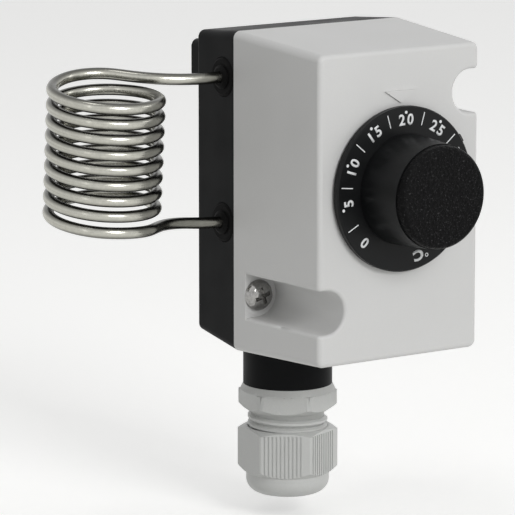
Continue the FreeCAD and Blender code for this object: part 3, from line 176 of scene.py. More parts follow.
def worked_metal(name, colour, roughness, streak, depth, shade=0.82, along=(1, 1, 1), dull=1.0):
    """Drawn, rolled, turned or plated metal: streaks of that size in mm, finer across than along.

    The streaks change both tone and gloss, so a highlight runs out unevenly as on real stock. along stretches
    the streaks: a small number makes them long that way. The last argument is the share of colour left on
    faces
    that look up or down: painted shade that darkens a wound tube above and below, between its turns.
    """
    material, tree, place = blank_material(name)
    turned = add_node(tree, "ShaderNodeMapping", (-1000, 0), values={"Scale": along}, links={"Vector": place})
    stock = add_node(
        tree, "ShaderNodeTexNoise", (-800, 200),
        values={"Scale": 1 / (streak * MM), "Detail": 4.0, "Roughness": 0.55},
        links={"Vector": turned.outputs["Vector"]},
    )
    patina = add_node(
        tree, "ShaderNodeTexNoise", (-800, -150),
        values={"Scale": 1 / (6.0 * MM), "Detail": 2.0, "Roughness": 0.5},
        links={"Vector": place},
    )
    tint = add_node(
        tree, "ShaderNodeValToRGB", (-450, 250),
        links={"Fac": stock.outputs["Fac"]},
        stops=[(0.25, darker(colour, shade)), (0.65, tuple(colour))],
    )
    # Painted shade: faces that look up or down get a darker colour, down to the last argument's share on
    # faces that look straight up or down.
    facing = add_node(tree, "ShaderNodeNewGeometry", (-1000, 550))
    upright = add_node(tree, "ShaderNodeSeparateXYZ", (-800, 550), links={"Vector": facing.outputs["Normal"]})
    steep = add_node(
        tree, "ShaderNodeMath", (-700, 650),
        links={0: upright.outputs["Z"]},
        settings={"operation": "ABSOLUTE"},
    )
    plated = add_node(
        tree, "ShaderNodeMapRange", (-600, 550),
        values={"From Min": 0.2, "From Max": 0.92, "To Min": 1.0, "To Max": dull},
        links={"Value": steep.outputs["Value"]},
        settings={"interpolation_type": "SMOOTHSTEP"},
    )
    tint = add_node(
        tree, "ShaderNodeVectorMath", (-150, 350),
        links={0: tint.outputs["Color"], 1: plated.outputs["Result"]},
        settings={"operation": "MULTIPLY"},
    )
    gloss = add_node(
        tree, "ShaderNodeMapRange", (-450, -50),
        values={"From Min": 0.3, "From Max": 0.7, "To Min": roughness * 0.8, "To Max": roughness * 1.25},
        links={"Value": patina.outputs["Fac"]},
    )
    relief = add_node(
        tree, "ShaderNodeBump", (-450, -300),
        values={"Strength": 0.5, "Distance": depth * MM},
        links={"Height": stock.outputs["Fac"]},
    )
    surface = add_node(
        tree, "ShaderNodeBsdfPrincipled", (300, 0),
        values={"Metallic": 1.0},
        links={
            "Base Color": tint.outputs["Vector"],
            "Roughness": gloss.outputs["Result"],
            "Normal": relief.outputs["Normal"],
        },
    )
    close_material(tree, surface)
    return material


def grained_cap_plastic(name, colour, speck):
    """Black ABS from a deeply etched tool: sharp grains about 1 mm wide that catch the light as pale specks.

    The specks tell the cap from the smooth cone under it. Their paler tone is a painted highlight, laid over
    the relief.
    """
    material, tree, place = blank_material(name)
    grains = add_node(
        tree, "ShaderNodeTexVoronoi", (-900, 200),
        values={"Scale": 1 / (1.1 * MM), "Randomness": 1.0},
        links={"Vector": place},
    )
    grit = add_node(
        tree, "ShaderNodeTexNoise", (-900, -150),
        values={"Scale": 1 / (0.5 * MM), "Detail": 3.0, "Roughness": 0.7},
        links={"Vector": place},
    )
    # Painted highlight: where the grit noise is high, the colour turns to the paler speck colour.
    tint = add_node(
        tree, "ShaderNodeValToRGB", (-450, 250),
        links={"Fac": grit.outputs["Fac"]},
        stops=[(0.42, darker(colour, 0.5)), (0.6, tuple(colour)), (0.72, tuple(speck))],
    )
    height = add_node(
        tree, "ShaderNodeMath", (-650, -50),
        links={0: grains.outputs["Distance"], 1: grit.outputs["Fac"]},
        settings={"operation": "MULTIPLY"},
    )
    relief = add_node(
        tree, "ShaderNodeBump", (-400, -300),
        values={"Strength": 1.0, "Distance": 0.35 * MM},
        links={"Height": height.outputs["Value"]},
    )
    surface = add_node(
        tree, "ShaderNodeBsdfPrincipled", (300, 0),
        values={"Roughness": 0.4, "IOR": 1.53, "Specular IOR Level": 0.06},
        links={"Base Color": tint.outputs["Color"], "Normal": relief.outputs["Normal"]},
    )
    close_material(tree, surface)
    return material


def printed_ink(name, colour):
    """White pad-printing ink, 0.05 mm thick: matt, with the slightly uneven cover that a pad leaves."""
    material, tree, place = blank_material(name)
    cover = add_node(
        tree, "ShaderNodeTexNoise", (-900, 150),
        values={"Scale": 1 / (0.5 * MM), "Detail": 3.0, "Roughness": 0.6},
        links={"Vector": place},
    )
    tint = add_node(
        tree, "ShaderNodeValToRGB", (-450, 150),
        links={"Fac": cover.outputs["Fac"]},
        stops=[(0.25, darker(colour, 0.82)), (0.6, tuple(colour))],
    )
    relief = add_node(
        tree, "ShaderNodeBump", (-450, -200),
        values={"Strength": 0.4, "Distance": 0.01 * MM},
        links={"Height": cover.outputs["Fac"]},
    )
    surface = add_node(
        tree, "ShaderNodeBsdfPrincipled", (300, 0),
        values={"Roughness": 0.55, "IOR": 1.5},
        links={"Base Color": tint.outputs["Color"], "Normal": relief.outputs["Normal"]},
    )
    close_material(tree, surface)
    return material


# Modelling helpers

def select_only(*objects):
    """Leaves object mode with only these objects selected, the first one active."""
    if bpy.context.object and bpy.context.object.mode != "OBJECT":
        bpy.ops.object.mode_set(mode="OBJECT")
    bpy.ops.object.select_all(action="DESELECT")
    for item in objects:
        item.select_set(True)
    bpy.context.view_layer.objects.active = objects[0] if objects else None


def pick(piece, test):
    """In edit mode, selects only the vertices whose place passes the test."""
    bpy.ops.mesh.select_mode(type="VERT")
    bpy.ops.mesh.select_all(action="DESELECT")
    bpy.ops.object.mode_set(mode="OBJECT")
    for vertex in piece.data.vertices:
        vertex.select = test(vertex.co)
    bpy.ops.object.mode_set(mode="EDIT")


def set_finish(piece, material):
    """Puts one material on every slot of a piece."""
    if not piece.material_slots:
        piece.data.materials.append(material)
    for entry in piece.material_slots:
        entry.material = material


def finish_nodes(material, *names):
    """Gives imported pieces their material."""
    for name in names:
        set_finish(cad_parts[name], material)


def settle(piece):
    """Moves a finished piece's place, turn and size into its mesh."""
    select_only(piece)
    bpy.ops.object.transform_apply(location=True, rotation=True, scale=True)


def copy_of_node(name):
    """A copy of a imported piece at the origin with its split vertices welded, the only thing selected."""
    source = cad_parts[name]
    piece = source.copy()
    piece.data = source.data.copy()
    piece.parent = None
    piece.matrix_world = Matrix.Identity(4)
    for key in list(piece.keys()):
        del piece[key]
    bpy.context.collection.objects.link(piece)
    select_only(piece)
    bpy.ops.object.mode_set(mode="EDIT")
    bpy.ops.mesh.select_all(action="SELECT")
    bpy.ops.mesh.remove_doubles(threshold=0.002 * MM)
    bpy.ops.object.mode_set(mode="OBJECT")
    return piece


def merged(pieces, name):
    """Joins pieces into one with that name."""
    select_only(*pieces)
    bpy.ops.object.join()
    piece = bpy.context.object
    piece.name = name
    piece.data.name = name
    return piece


def on_dial(angle, radius):
    """Puts a flat drawing on the disc, its top outwards, at an angle clockwise from 12 o'clock."""
    sizes = bpy.context.scene.thermostat_sizes
    upright = Matrix.Rotation(math.radians(90), 4, "X")
    turned = Matrix.Rotation(math.radians(angle), 4, "Y")
    place = turned @ Matrix.Translation((0, 0, radius)) @ upright
    return Matrix.Translation((0, sizes.disc_front, sizes.dial_height)) @ place


# Sizes and colours

lowest_z = cad_box[0].z

# Places on the dial, in degrees clockwise from 12 o'clock, and the shape of its unit.
FIGURE_SPREAD = 4.25  # from a mark to the middle of either figure of its number
UNIT_ANGLE = 166.6
UNIT_WIDTH = 1.22
UNIT_WEIGHT = 1.6
THREE_WEIGHT = 0.7
DEGREE_ANGLE = 158.8
DEGREE_RING = 19.5 * MM
DEGREE_RADIUS = 0.55 * MM
DEGREE_STROKE = 0.24 * MM

# The cable gland's axis and its clamp thread, as part.py has them.
GLAND_X = -5.4 * MM
GLAND_Y = -19.3 * MM
THREAD_CREST = 10.95 * MM
THREAD_TOP = -62.9 * MM
THREAD_BOTTOM = -74.9 * MM
THREAD_TURNS = 5
THREAD_RUN_OUT = 1.1 * MM
THREAD_STEPS = 48
THREAD_ROOT_SINK = 0.1 * MM  # how far the ridge's foot stands inside the core
ROOT_SHARE, CREST_SHARE = 0.42, 0.16  # half the width of the ridge's foot and crest, in pitches
CREST_REACH = 0.12 * MM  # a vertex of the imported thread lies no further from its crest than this
NUT_TRAVEL = 6.4 * MM  # the floor lies clear of the clamping nut when that is screwed right down

# The stage, in metres, with light levels as shares of white.
FLOOR_SIZE = 7.0
FLOOR_SHIFT = 0.8
FLOOR_ROUND = 1.2
FLOOR_LIFT = 0.4
SKY_LEVEL = 0.33

# The camera that took the photo, solved from the housing's edges. Lengths on its sensor are in mm.
SENSOR_WIDTH = 36.0
FOCAL_PIXELS = 4000
PHOTO_WIDTH = 515
CAMERA_PLACE = Vector((-622.17, -895.74, 175.92)) * MM
CAMERA_TARGET = Vector((-20.08, -26.0, -18.47)) * MM


class ThermostatSizes(bpy.types.PropertyGroup):
    """Sizes of the printed dial and the gland thread."""

    disc_front: bpy.props.FloatProperty(
        name="Disc front", description="Where the printed face of the disc lies, measured from the wall",
        default=-65.4 * MM, subtype="DISTANCE", unit="LENGTH",
    )
    dial_height: bpy.props.FloatProperty(
        name="Dial centre height", description="Height of the knob axis above the fixing holes",
        default=3.6 * MM, subtype="DISTANCE", unit="LENGTH",
    )
    figure_height: bpy.props.FloatProperty(
        name="Figure height", description="Height of the printed figures",
        default=3.0 * MM, min=1 * MM, max=4 * MM, subtype="DISTANCE", unit="LENGTH",
    )
    figure_radius: bpy.props.FloatProperty(
        name="Figure radius", description="Distance from the knob axis to the middle of the figures",
        default=18.55 * MM, subtype="DISTANCE", unit="LENGTH",
    )
    figure_weight: bpy.props.FloatProperty(
        name="Figure weight", description="How much the strokes of the figures are thickened",
        default=0.028, min=0.0, max=0.05, subtype="FACTOR",
    )
    dot_radius: bpy.props.FloatProperty(
        name="Dot radius", description="Radius of the dot at each numbered mark",
        default=0.42 * MM, subtype="DISTANCE", unit="LENGTH",
    )
    dot_ring: bpy.props.FloatProperty(
        name="Dot ring", description="Distance from the knob axis to the dots",
        default=20.45 * MM, subtype="DISTANCE", unit="LENGTH",
    )
    tick_width: bpy.props.FloatProperty(
        name="Tick width", description="Width of the lines half way between the numbers",
        default=0.27 * MM, subtype="DISTANCE", unit="LENGTH",
    )
    tick_inner: bpy.props.FloatProperty(
        name="Tick inner end", description="Distance from the knob axis to the inner end of a line",
        default=17.3 * MM, subtype="DISTANCE", unit="LENGTH",
    )
    tick_outer: bpy.props.FloatProperty(
        name="Tick outer end", description="Distance from the knob axis to the outer end of a line",
        default=20.9 * MM, subtype="DISTANCE", unit="LENGTH",
    )
    ink_thickness: bpy.props.FloatProperty(
        name="Ink thickness", description="How far the ink stands on the disc",
        default=0.05 * MM, subtype="DISTANCE", unit="LENGTH",
    )
    mark_step: bpy.props.FloatProperty(
        name="Mark step", description="Angle between two numbered marks, in degrees",
        default=33.6, min=20.0, max=40.0,
    )
    thread_pitch: bpy.props.FloatProperty(
        name="Thread pitch", description="Distance between two ridges of the clamp thread",
        default=2.0 * MM, subtype="DISTANCE", unit="LENGTH",
    )
    thread_depth: bpy.props.FloatProperty(
        name="Thread depth", description="Height of the ridges of the clamp thread",
        default=0.9 * MM, subtype="DISTANCE", unit="LENGTH",
    )


class ThermostatColours(bpy.types.PropertyGroup):
    """Colours of the visible pieces."""

    cover: bpy.props.FloatVectorProperty(
        name="Cover", description="Light grey of the cover", size=4, subtype="COLOR",
        min=0, max=1, default=linear("#d4d4d3"),
    )
    base: bpy.props.FloatVectorProperty(
        name="Base", description="Near black of the base", size=4, subtype="COLOR",
        min=0, max=1, default=linear("#111213"),
    )
    knob: bpy.props.FloatVectorProperty(
        name="Knob", description="Black of the knob and its disc", size=4, subtype="COLOR",
        min=0, max=1, default=linear("#111213"),
    )
    gland: bpy.props.FloatVectorProperty(
        name="Gland", description="Light grey of the cable gland", size=4, subtype="COLOR",
        min=0, max=1, default=linear("#c9cac8"),
    )
    ink: bpy.props.FloatVectorProperty(
        name="Ink", description="White of the dial print", size=4, subtype="COLOR",
        min=0, max=1, default=linear("#eef0f1"),
    )
    tube: bpy.props.FloatVectorProperty(
        name="Sensor tube", description="Bright nickel of the coiled sensor", size=4, subtype="COLOR",
        min=0, max=1, default=linear("#bbbab1"),
    )


# Operators for the housing and the knob

class THERMOSTAT_OT_housing_finish(bpy.types.Operator):
    """Gives the base, the cover and the rubber pieces on them their moulded finishes"""

    bl_idname = "thermostat.housing_finish"
    bl_label = "Finish Housing"
    bl_options = {"REGISTER", "UNDO"}

    def execute(self, context):
        colours = context.scene.thermostat_colours
        # Glass-filled polyamide, moulded black: dull and even, with a fine eroded skin.
        base = moulded_plastic("black_polyamide_moulded", colours.base, 0.45, 0.03, 0.5, shade=0.78,
                               gleam=0.06)
        # ABS, moulded light grey: pale satin. The real grain of about 0.1 mm is drawn at 0.4 mm, to show.
        cover = moulded_plastic("light_grey_abs_moulded", colours.cover, 0.4, 0.012, 0.46, shade=0.965,
                                cloud=14.0)
        # Nitrile rubber, moulded: blacker and duller than the base that it sits in.
        rubber = moulded_plastic("black_nitrile_rubber", linear("#0e0e0e"), 0.3, 0.03, 0.62, shade=0.7,
                                 cloud=2.5, gleam=0.06)
        finish_nodes(base, "base_housing")
        finish_nodes(cover, "cover")
        finish_nodes(rubber, "upper_grommet", "lower_grommet", "housing_gasket", "spindle_seal", "gland_seal",
                     "gland_o_ring")
        return {"FINISHED"}


class THERMOSTAT_OT_knob_finish(bpy.types.Operator):
    """Gives the knob, its grained cap and the ring under the disc their black finishes"""

    bl_idname = "thermostat.knob_finish"
    bl_label = "Finish Knob"
    bl_options = {"REGISTER", "UNDO"}

    def execute(self, context):
        colours = context.scene.thermostat_colours
        # ABS, moulded black in a polished tool and then finely blasted: satin, with wide soft highlights.
        knob = moulded_plastic("black_abs_satin", colours.knob, 0.5, 0.015, 0.36, shade=0.8, cloud=6.0,
                               gleam=0.16)
        # The paler second colour is a painted highlight on the grain.
        cap = grained_cap_plastic("black_abs_deep_grain", linear("#09090a"), linear("#484849"))
        # Acetal, moulded black: a little greyer and waxier than the knob above it.
        ring = moulded_plastic("black_acetal_ring", linear("#131314"), 0.4, 0.01, 0.42, shade=0.85,
                               cloud=4.0, gleam=0.35)
        finish_nodes(knob, "dial_knob")
        finish_nodes(cap, "knob_cap")
        finish_nodes(ring, "limit_ring")
        return {"FINISHED"}


class THERMOSTAT_OT_dial_figures(bpy.types.Operator):
    """Prints the numbers and the unit on the disc"""

    bl_idname = "thermostat.dial_figures"
    bl_label = "Print Dial Figures"
    bl_options = {"REGISTER", "UNDO"}

    def glyph(self, context, letter, height, width=1.0, weight=1.0):
        """One letter as a mesh, facing +Z round the origin, at shares of the usual width and weight."""
        sizes = context.scene.thermostat_sizes
        select_only()
        bpy.ops.object.text_add(location=(0, 0, 0))
        text = context.object
        text.data.body = letter
        text.data.offset = sizes.figure_weight * weight
        text.data.resolution_u = 6
        bpy.ops.object.convert(target="MESH")
        shape = context.object
        low = Vector(map(min, zip(*[v.co for v in shape.data.vertices])))
        high = Vector(map(max, zip(*[v.co for v in shape.data.vertices])))
        size = height / (high.y - low.y)
        centred = Matrix.Translation(-(low + high) / 2)
        shape.data.transform(Matrix.Diagonal((size * width, size, size, 1)) @ centred)
        bpy.ops.object.mode_set(mode="EDIT")
        bpy.ops.mesh.select_all(action="SELECT")
        bpy.ops.mesh.remove_doubles(threshold=0.01 * MM)
        bpy.ops.mesh.normals_make_consistent(inside=False)
        bpy.ops.mesh.extrude_region_move(TRANSFORM_OT_translate={"value": (0, 0, sizes.ink_thickness)})
        bpy.ops.mesh.select_all(action="SELECT")
        bpy.ops.mesh.normals_make_consistent(inside=False)
        bpy.ops.object.mode_set(mode="OBJECT")
        return shape

    def execute(self, context):
        sizes = context.scene.thermostat_sizes
        colours = context.scene.thermostat_colours
        masters = {letter: self.glyph(context, letter, sizes.figure_height) for letter in "01245"}
        # At the full weight the waist of the 3 would fold over itself.
        masters["3"] = self.glyph(context, "3", sizes.figure_height, weight=THREE_WEIGHT)
        masters["C"] = self.glyph(context, "C", sizes.figure_height, UNIT_WIDTH, UNIT_WEIGHT)
        figures = []
        placed = []
        for count in range(9):
            angle = (count - 4) * sizes.mark_step
            number = str(count * 5)
            if number == "0":
                placed.append((angle, number))
            elif number == "5":
                placed.append((angle + FIGURE_SPREAD, number))
            else:
                placed.append((angle - FIGURE_SPREAD, number[0]))
                placed.append((angle + FIGURE_SPREAD, number[1]))
        placed.append((UNIT_ANGLE, "C"))
        for angle, letter in placed:
            figure = masters[letter].copy()
            figure.data = masters[letter].data.copy()
            context.collection.objects.link(figure)
            figure.data.transform(on_dial(angle, sizes.figure_radius))
            figures.append(figure)
        for master in masters.values():
            bpy.data.objects.remove(master)
        print_piece = merged(figures, "dial_figures")
        # Pad-printing ink, white: the most visible contrast on the object.
        set_finish(print_piece, printed_ink("white_pad_ink_figures", colours.ink))
        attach(print_piece, "setpoint_knob")
        return {"FINISHED"}


class THERMOSTAT_OT_dial_marks(bpy.types.Operator):
    """Prints the dots at the numbers, the lines between them and the degree ring"""

    bl_idname = "thermostat.dial_marks"
    bl_label = "Print Dial Marks"
    bl_options = {"REGISTER", "UNDO"}

    def dot(self, context):
        """A dot of ink with a rounded rim, facing +Z."""
        sizes = context.scene.thermostat_sizes
        select_only()
        bpy.ops.mesh.primitive_circle_add(vertices=24, radius=sizes.dot_radius, fill_type="NGON")
        dot = context.object
        bpy.ops.object.mode_set(mode="EDIT")
        bpy.ops.mesh.select_all(action="SELECT")
        bpy.ops.mesh.extrude_region_move(TRANSFORM_OT_translate={"value": (0, 0, sizes.ink_thickness * 0.7)})
        bpy.ops.mesh.extrude_region_move(TRANSFORM_OT_translate={"value": (0, 0, sizes.ink_thickness * 0.3)})
        bpy.ops.transform.resize(value=(0.93, 0.93, 1.0))
        bpy.ops.mesh.select_all(action="SELECT")
        bpy.ops.mesh.normals_make_consistent(inside=False)
        bpy.ops.object.mode_set(mode="OBJECT")
        return dot

    def tick(self, context):
        """A short line of ink with cut corners, facing +Z and running along Y."""
        sizes = context.scene.thermostat_sizes
        select_only()
        bpy.ops.mesh.primitive_plane_add(size=1)
        tick = context.object
        bpy.ops.object.mode_set(mode="EDIT")
        bpy.ops.mesh.select_all(action="SELECT")
        bpy.ops.transform.resize(value=(sizes.tick_width, sizes.tick_outer - sizes.tick_inner, 1.0))
        bpy.ops.mesh.bevel(affect="VERTICES", offset=sizes.tick_width * 0.22, segments=2)
        bpy.ops.mesh.select_all(action="SELECT")
        bpy.ops.mesh.extrude_region_move(TRANSFORM_OT_translate={"value": (0, 0, sizes.ink_thickness)})
        bpy.ops.mesh.select_all(action="SELECT")
        bpy.ops.mesh.normals_make_consistent(inside=False)
        bpy.ops.object.mode_set(mode="OBJECT")
        return tick

    def degree_ring(self, context):
        """The small ring of the degree sign, facing +Z."""
        sizes = context.scene.thermostat_sizes
        select_only()
        bpy.ops.mesh.primitive_circle_add(vertices=24, radius=DEGREE_RADIUS, fill_type="NGON")
        ring = context.object
        bpy.ops.object.mode_set(mode="EDIT")
        bpy.ops.mesh.select_all(action="SELECT")
        bpy.ops.mesh.inset(thickness=DEGREE_STROKE)
        bpy.ops.mesh.delete(type="FACE")
        bpy.ops.mesh.select_all(action="SELECT")
        bpy.ops.mesh.extrude_region_move(TRANSFORM_OT_translate={"value": (0, 0, sizes.ink_thickness)})
        bpy.ops.mesh.select_all(action="SELECT")
        bpy.ops.mesh.normals_make_consistent(inside=False)
        bpy.ops.object.mode_set(mode="OBJECT")
        return ring

    def execute(self, context):
        sizes = context.scene.thermostat_sizes
        colours = context.scene.thermostat_colours
        dot = self.dot(context)
        tick = self.tick(context)
        ring = self.degree_ring(context)
        middle = (sizes.tick_inner + sizes.tick_outer) / 2
        marks = []
        for count in range(9):
            angle = (count - 4) * sizes.mark_step
            if count:
                marks.append((dot, angle, sizes.dot_ring))
            if count < 8:
                marks.append((tick, angle + sizes.mark_step / 2, middle))
        marks.append((ring, DEGREE_ANGLE, DEGREE_RING))
        copies = []
        for master, angle, radius in marks:
            copy = master.copy()
            copy.data = master.data.copy()
            context.collection.objects.link(copy)
            copy.data.transform(on_dial(angle, radius))
            copies.append(copy)
        for master in (dot, tick, ring):
            bpy.data.objects.remove(master)
        print_piece = merged(copies, "dial_marks")
        # The same ink as the figures.
        set_finish(print_piece, printed_ink("white_pad_ink_marks", colours.ink))
        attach(print_piece, "setpoint_knob")
        return {"FINISHED"}


# Operators for the sensor, the gland, the fasteners and the mechanism

class THERMOSTAT_OT_sensor_finish(bpy.types.Operator):
    """Gives the coiled sensor, its end cap and the capillary their metals"""

    bl_idname = "thermostat.sensor_finish"
    bl_label = "Finish Sensor"
    bl_options = {"REGISTER", "UNDO"}

    def execute(self, context):
        colours = context.scene.thermostat_colours
        # Copper tube, drawn and nickel plated: bright with a warm cast, faint streaks in the highlight.
        # Painted shade: the tube's faces that look up or down keep only a fifth of its colour.
        tube = worked_metal("nickel_plated_drawn_tube", colours.tube, 0.23, 0.9, 0.006, shade=0.86, dull=0.2)
        # Silver-brazed joint: duller than the tube, with a wavy skin where the braze flowed.
        braze = worked_metal("silver_brazed_end", linear("#a59c86"), 0.34, 0.7, 0.03, shade=0.7)
        # Copper capillary, drawn bare: brown pink, dulled by handling.
        copper = worked_metal("drawn_copper_capillary", linear("#b3714f"), 0.3, 0.6, 0.008, shade=0.75)
        # Tin-plated steel bellows, pressed: grey with rolling streaks.
        capsule = worked_metal("pressed_steel_capsule", linear("#a9aaa8"), 0.28, 0.5, 0.006, shade=0.8,
                               along=(1, 1, 0.12))
        finish_nodes(tube, "sensor_coil")
        finish_nodes(braze, "coil_end_cap", "capillary_joint")
        finish_nodes(copper, "capillary_tube")
        finish_nodes(capsule, "diaphragm_capsule", "capsule_pin")
        return {"FINISHED"}


class THERMOSTAT_OT_gland_body(bpy.types.Operator):
    """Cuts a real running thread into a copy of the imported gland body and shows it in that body's place"""

    bl_idname = "thermostat.gland_body"
    bl_label = "Thread Gland Body"
    bl_options = {"REGISTER", "UNDO"}

    def execute(self, context):
        sizes = context.scene.thermostat_sizes
        colours = context.scene.thermostat_colours
        core = THREAD_CREST - sizes.thread_depth
        body = copy_of_node("gland_body")
        bpy.ops.object.mode_set(mode="EDIT")

        def on_thread(point):
            reach = math.hypot(point.x - GLAND_X, point.y - GLAND_Y)
            in_height = THREAD_BOTTOM - 0.4 * MM < point.z < THREAD_TOP + 0.05 * MM
            return in_height and abs(reach - THREAD_CREST) < CREST_REACH

        pick(body, on_thread)
        bpy.ops.transform.resize(
            value=(core / THREAD_CREST, core / THREAD_CREST, 1.0),
            center_override=(GLAND_X, GLAND_Y, THREAD_TOP),
        )
        bpy.ops.object.mode_set(mode="OBJECT")

        # One flank profile, then a screw that runs it down the whole thread.
        half_root, half_crest = ROOT_SHARE * sizes.thread_pitch, CREST_SHARE * sizes.thread_pitch
        select_only()
        bpy.ops.mesh.primitive_plane_add(size=1, location=(GLAND_X, GLAND_Y, THREAD_TOP - THREAD_RUN_OUT))
        ridge = context.object
        bpy.ops.object.mode_set(mode="EDIT")
        bpy.ops.mesh.select_all(action="SELECT")
        bpy.ops.mesh.delete(type="ONLY_FACE")
        bpy.ops.object.mode_set(mode="OBJECT")
        root = core - THREAD_ROOT_SINK
        for vertex in ridge.data.vertices:
            outer, upper = vertex.co.x > 0, vertex.co.y > 0
            half = half_crest if outer else half_root
            vertex.co = (THREAD_CREST if outer else root, 0, half if upper else -half)
        screw = ridge.modifiers.new("thread", "SCREW")
        screw.axis = "Z"
        screw.screw_offset = -sizes.thread_pitch
        screw.iterations = THREAD_TURNS
        screw.steps = THREAD_STEPS
        screw.render_steps = THREAD_STEPS
        screw.use_smooth_shade = True
        select_only(ridge)
        bpy.ops.object.modifier_apply(modifier=screw.name)
        bpy.ops.object.mode_set(mode="EDIT")
        bpy.ops.mesh.select_all(action="SELECT")
        bpy.ops.mesh.remove_doubles(threshold=0.001 * MM)
        bpy.ops.mesh.select_mode(type="EDGE")
        bpy.ops.mesh.select_all(action="DESELECT")
        bpy.ops.mesh.select_non_manifold(extend=False)
        bpy.ops.mesh.edge_face_add()
        bpy.ops.mesh.select_all(action="SELECT")
        bpy.ops.mesh.normals_make_consistent(inside=False)
        bpy.ops.object.mode_set(mode="OBJECT")
        settle(ridge)
        piece = merged([body, ridge], "gland_body_threaded")
        select_only(piece)
        bpy.ops.object.shade_smooth_by_angle(angle=math.radians(16))
        # Polyamide, moulded light grey: waxy satin, a touch darker than the cover.
        grey = moulded_plastic("grey_polyamide_gland_body", colours.gland, 0.5, 0.012, 0.42, shade=0.93)
        set_finish(piece, grey)
        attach(piece, "housing")
        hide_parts("gland_body")
        return {"FINISHED"}


class THERMOSTAT_OT_gland_finish(bpy.types.Operator):
    """Gives the clamping nut its moulded finish"""

    bl_idname = "thermostat.gland_finish"
    bl_label = "Finish Gland Nut"
    bl_options = {"REGISTER", "UNDO"}

    def execute(self, context):
        colours = context.scene.thermostat_colours
        # The same polyamide as the gland body, from its own tool.
        grey = moulded_plastic("grey_polyamide_gland_nut", colours.gland, 0.5, 0.012, 0.4, shade=0.94)
        finish_nodes(grey, "gland_nut")
        return {"FINISHED"}


class THERMOSTAT_OT_cover_screws(bpy.types.Operator):
    """Rounds the shading of the two cover screws' domes and plates them"""

    bl_idname = "thermostat.cover_screws"
    bl_label = "Polish Cover Screws"
    bl_options = {"REGISTER", "UNDO"}

    def execute(self, context):
        screws = copy_of_node("cover_screws")
        screws.name = "cover_screws_polished"
        screws.data.name = "cover_screws_polished"
        bpy.ops.mesh.customdata_custom_splitnormals_clear()
        bpy.ops.object.shade_smooth_by_angle(angle=math.radians(42))
        # Steel, cold headed and zinc plated: a bright rolled dome with a dark cross recess.
        zinc = worked_metal("zinc_plated_cover_screw", linear("#a3a2a0"), 0.17, 0.8, 0.01, shade=0.62)
        set_finish(screws, zinc)
        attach(screws, "housing")
        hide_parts("cover_screws")
        return {"FINISHED"}


class THERMOSTAT_OT_fastener_finish(bpy.types.Operator):
    """Gives the screws and rivets their plated finishes"""

    bl_idname = "thermostat.fastener_finish"
    bl_label = "Finish Fasteners"
    bl_options = {"REGISTER", "UNDO"}

    def execute(self, context):
        # Steel, cold headed and zinc plated: silvery with a blue-grey cast and small dull patches.
        zinc = worked_metal("zinc_plated_screw", linear("#94979a"), 0.22, 0.8, 0.012, shade=0.7)
        # Steel rivets, tumbled and plated: duller, with tool marks across the head.
        rivet = worked_metal("zinc_plated_rivet", linear("#9fa2a5"), 0.38, 0.5, 0.015, shade=0.75)
        finish_nodes(zinc, "chassis_screws", "switch_screws", "terminal_screws", "earth_screw")
        finish_nodes(rivet, "bracket_rivets")
        return {"FINISHED"}


class THERMOSTAT_OT_mechanism_finish(bpy.types.Operator):
    """Gives the pieces inside the housing their metals and plastics"""

    bl_idname = "thermostat.mechanism_finish"
    bl_label = "Finish Mechanism"
    bl_options = {"REGISTER", "UNDO"}

    def execute(self, context):
        # Galvanised sheet, pressed: grey, with the rolling direction along X.
        sheet = worked_metal("galvanised_sheet_steel", linear("#a7aaac"), 0.36, 0.6, 0.01, shade=0.8,
                             along=(0.08, 1, 1))
        # Spring steel, hardened: darker, blue grey and glossier than the sheet.
        spring = worked_metal("hardened_spring_steel", linear("#7f848a"), 0.26, 0.5, 0.006, shade=0.8,
                              along=(1, 1, 0.1))
        # Brass, turned: yellow, with fine rings round the axis of the lathe.
        brass = worked_metal("turned_brass", linear("#c6a35b"), 0.28, 0.4, 0.008, shade=0.8,
                             along=(1, 0.15, 1))
        # Glass-filled thermoset, moulded cream: dull, with pale fibre clouds.
        switch = moulded_plastic("cream_thermoset_switch_case", linear("#cfc6ae"), 0.5, 0.03, 0.55,
                                 shade=0.88)
        # Acetal, moulded red-brown: waxy plunger of the switch.
        plunger = moulded_plastic("red_acetal_plunger", linear("#93402f"), 0.4, 0.01, 0.38, shade=0.9)
        finish_nodes(sheet, "chassis", "spindle_bracket", "transfer_lever", "lever_pin")
        finish_nodes(spring, "range_leaf", "spindle_clip")
        finish_nodes(brass, "setpoint_spindle", "spindle_bush", "range_nut", "terminal_clamps", "earth_clamp")
        finish_nodes(switch, "switch_case")
        finish_nodes(plunger, "switch_plunger")
        return {"FINISHED"}


# The stage

def soft_lamp(name, place, target, size, power):
    """A white soft box that looks at the target."""
    data = bpy.data.lights.new(name, "AREA")
    data.shape = "RECTANGLE"
    data.size, data.size_y = size
    data.energy = power
    lamp = bpy.data.objects.new(name, data)
    lamp.location = place
    lamp.rotation_euler = (Vector(target) - Vector(place)).to_track_quat("-Z", "Y").to_euler()
    bpy.context.collection.objects.link(lamp)


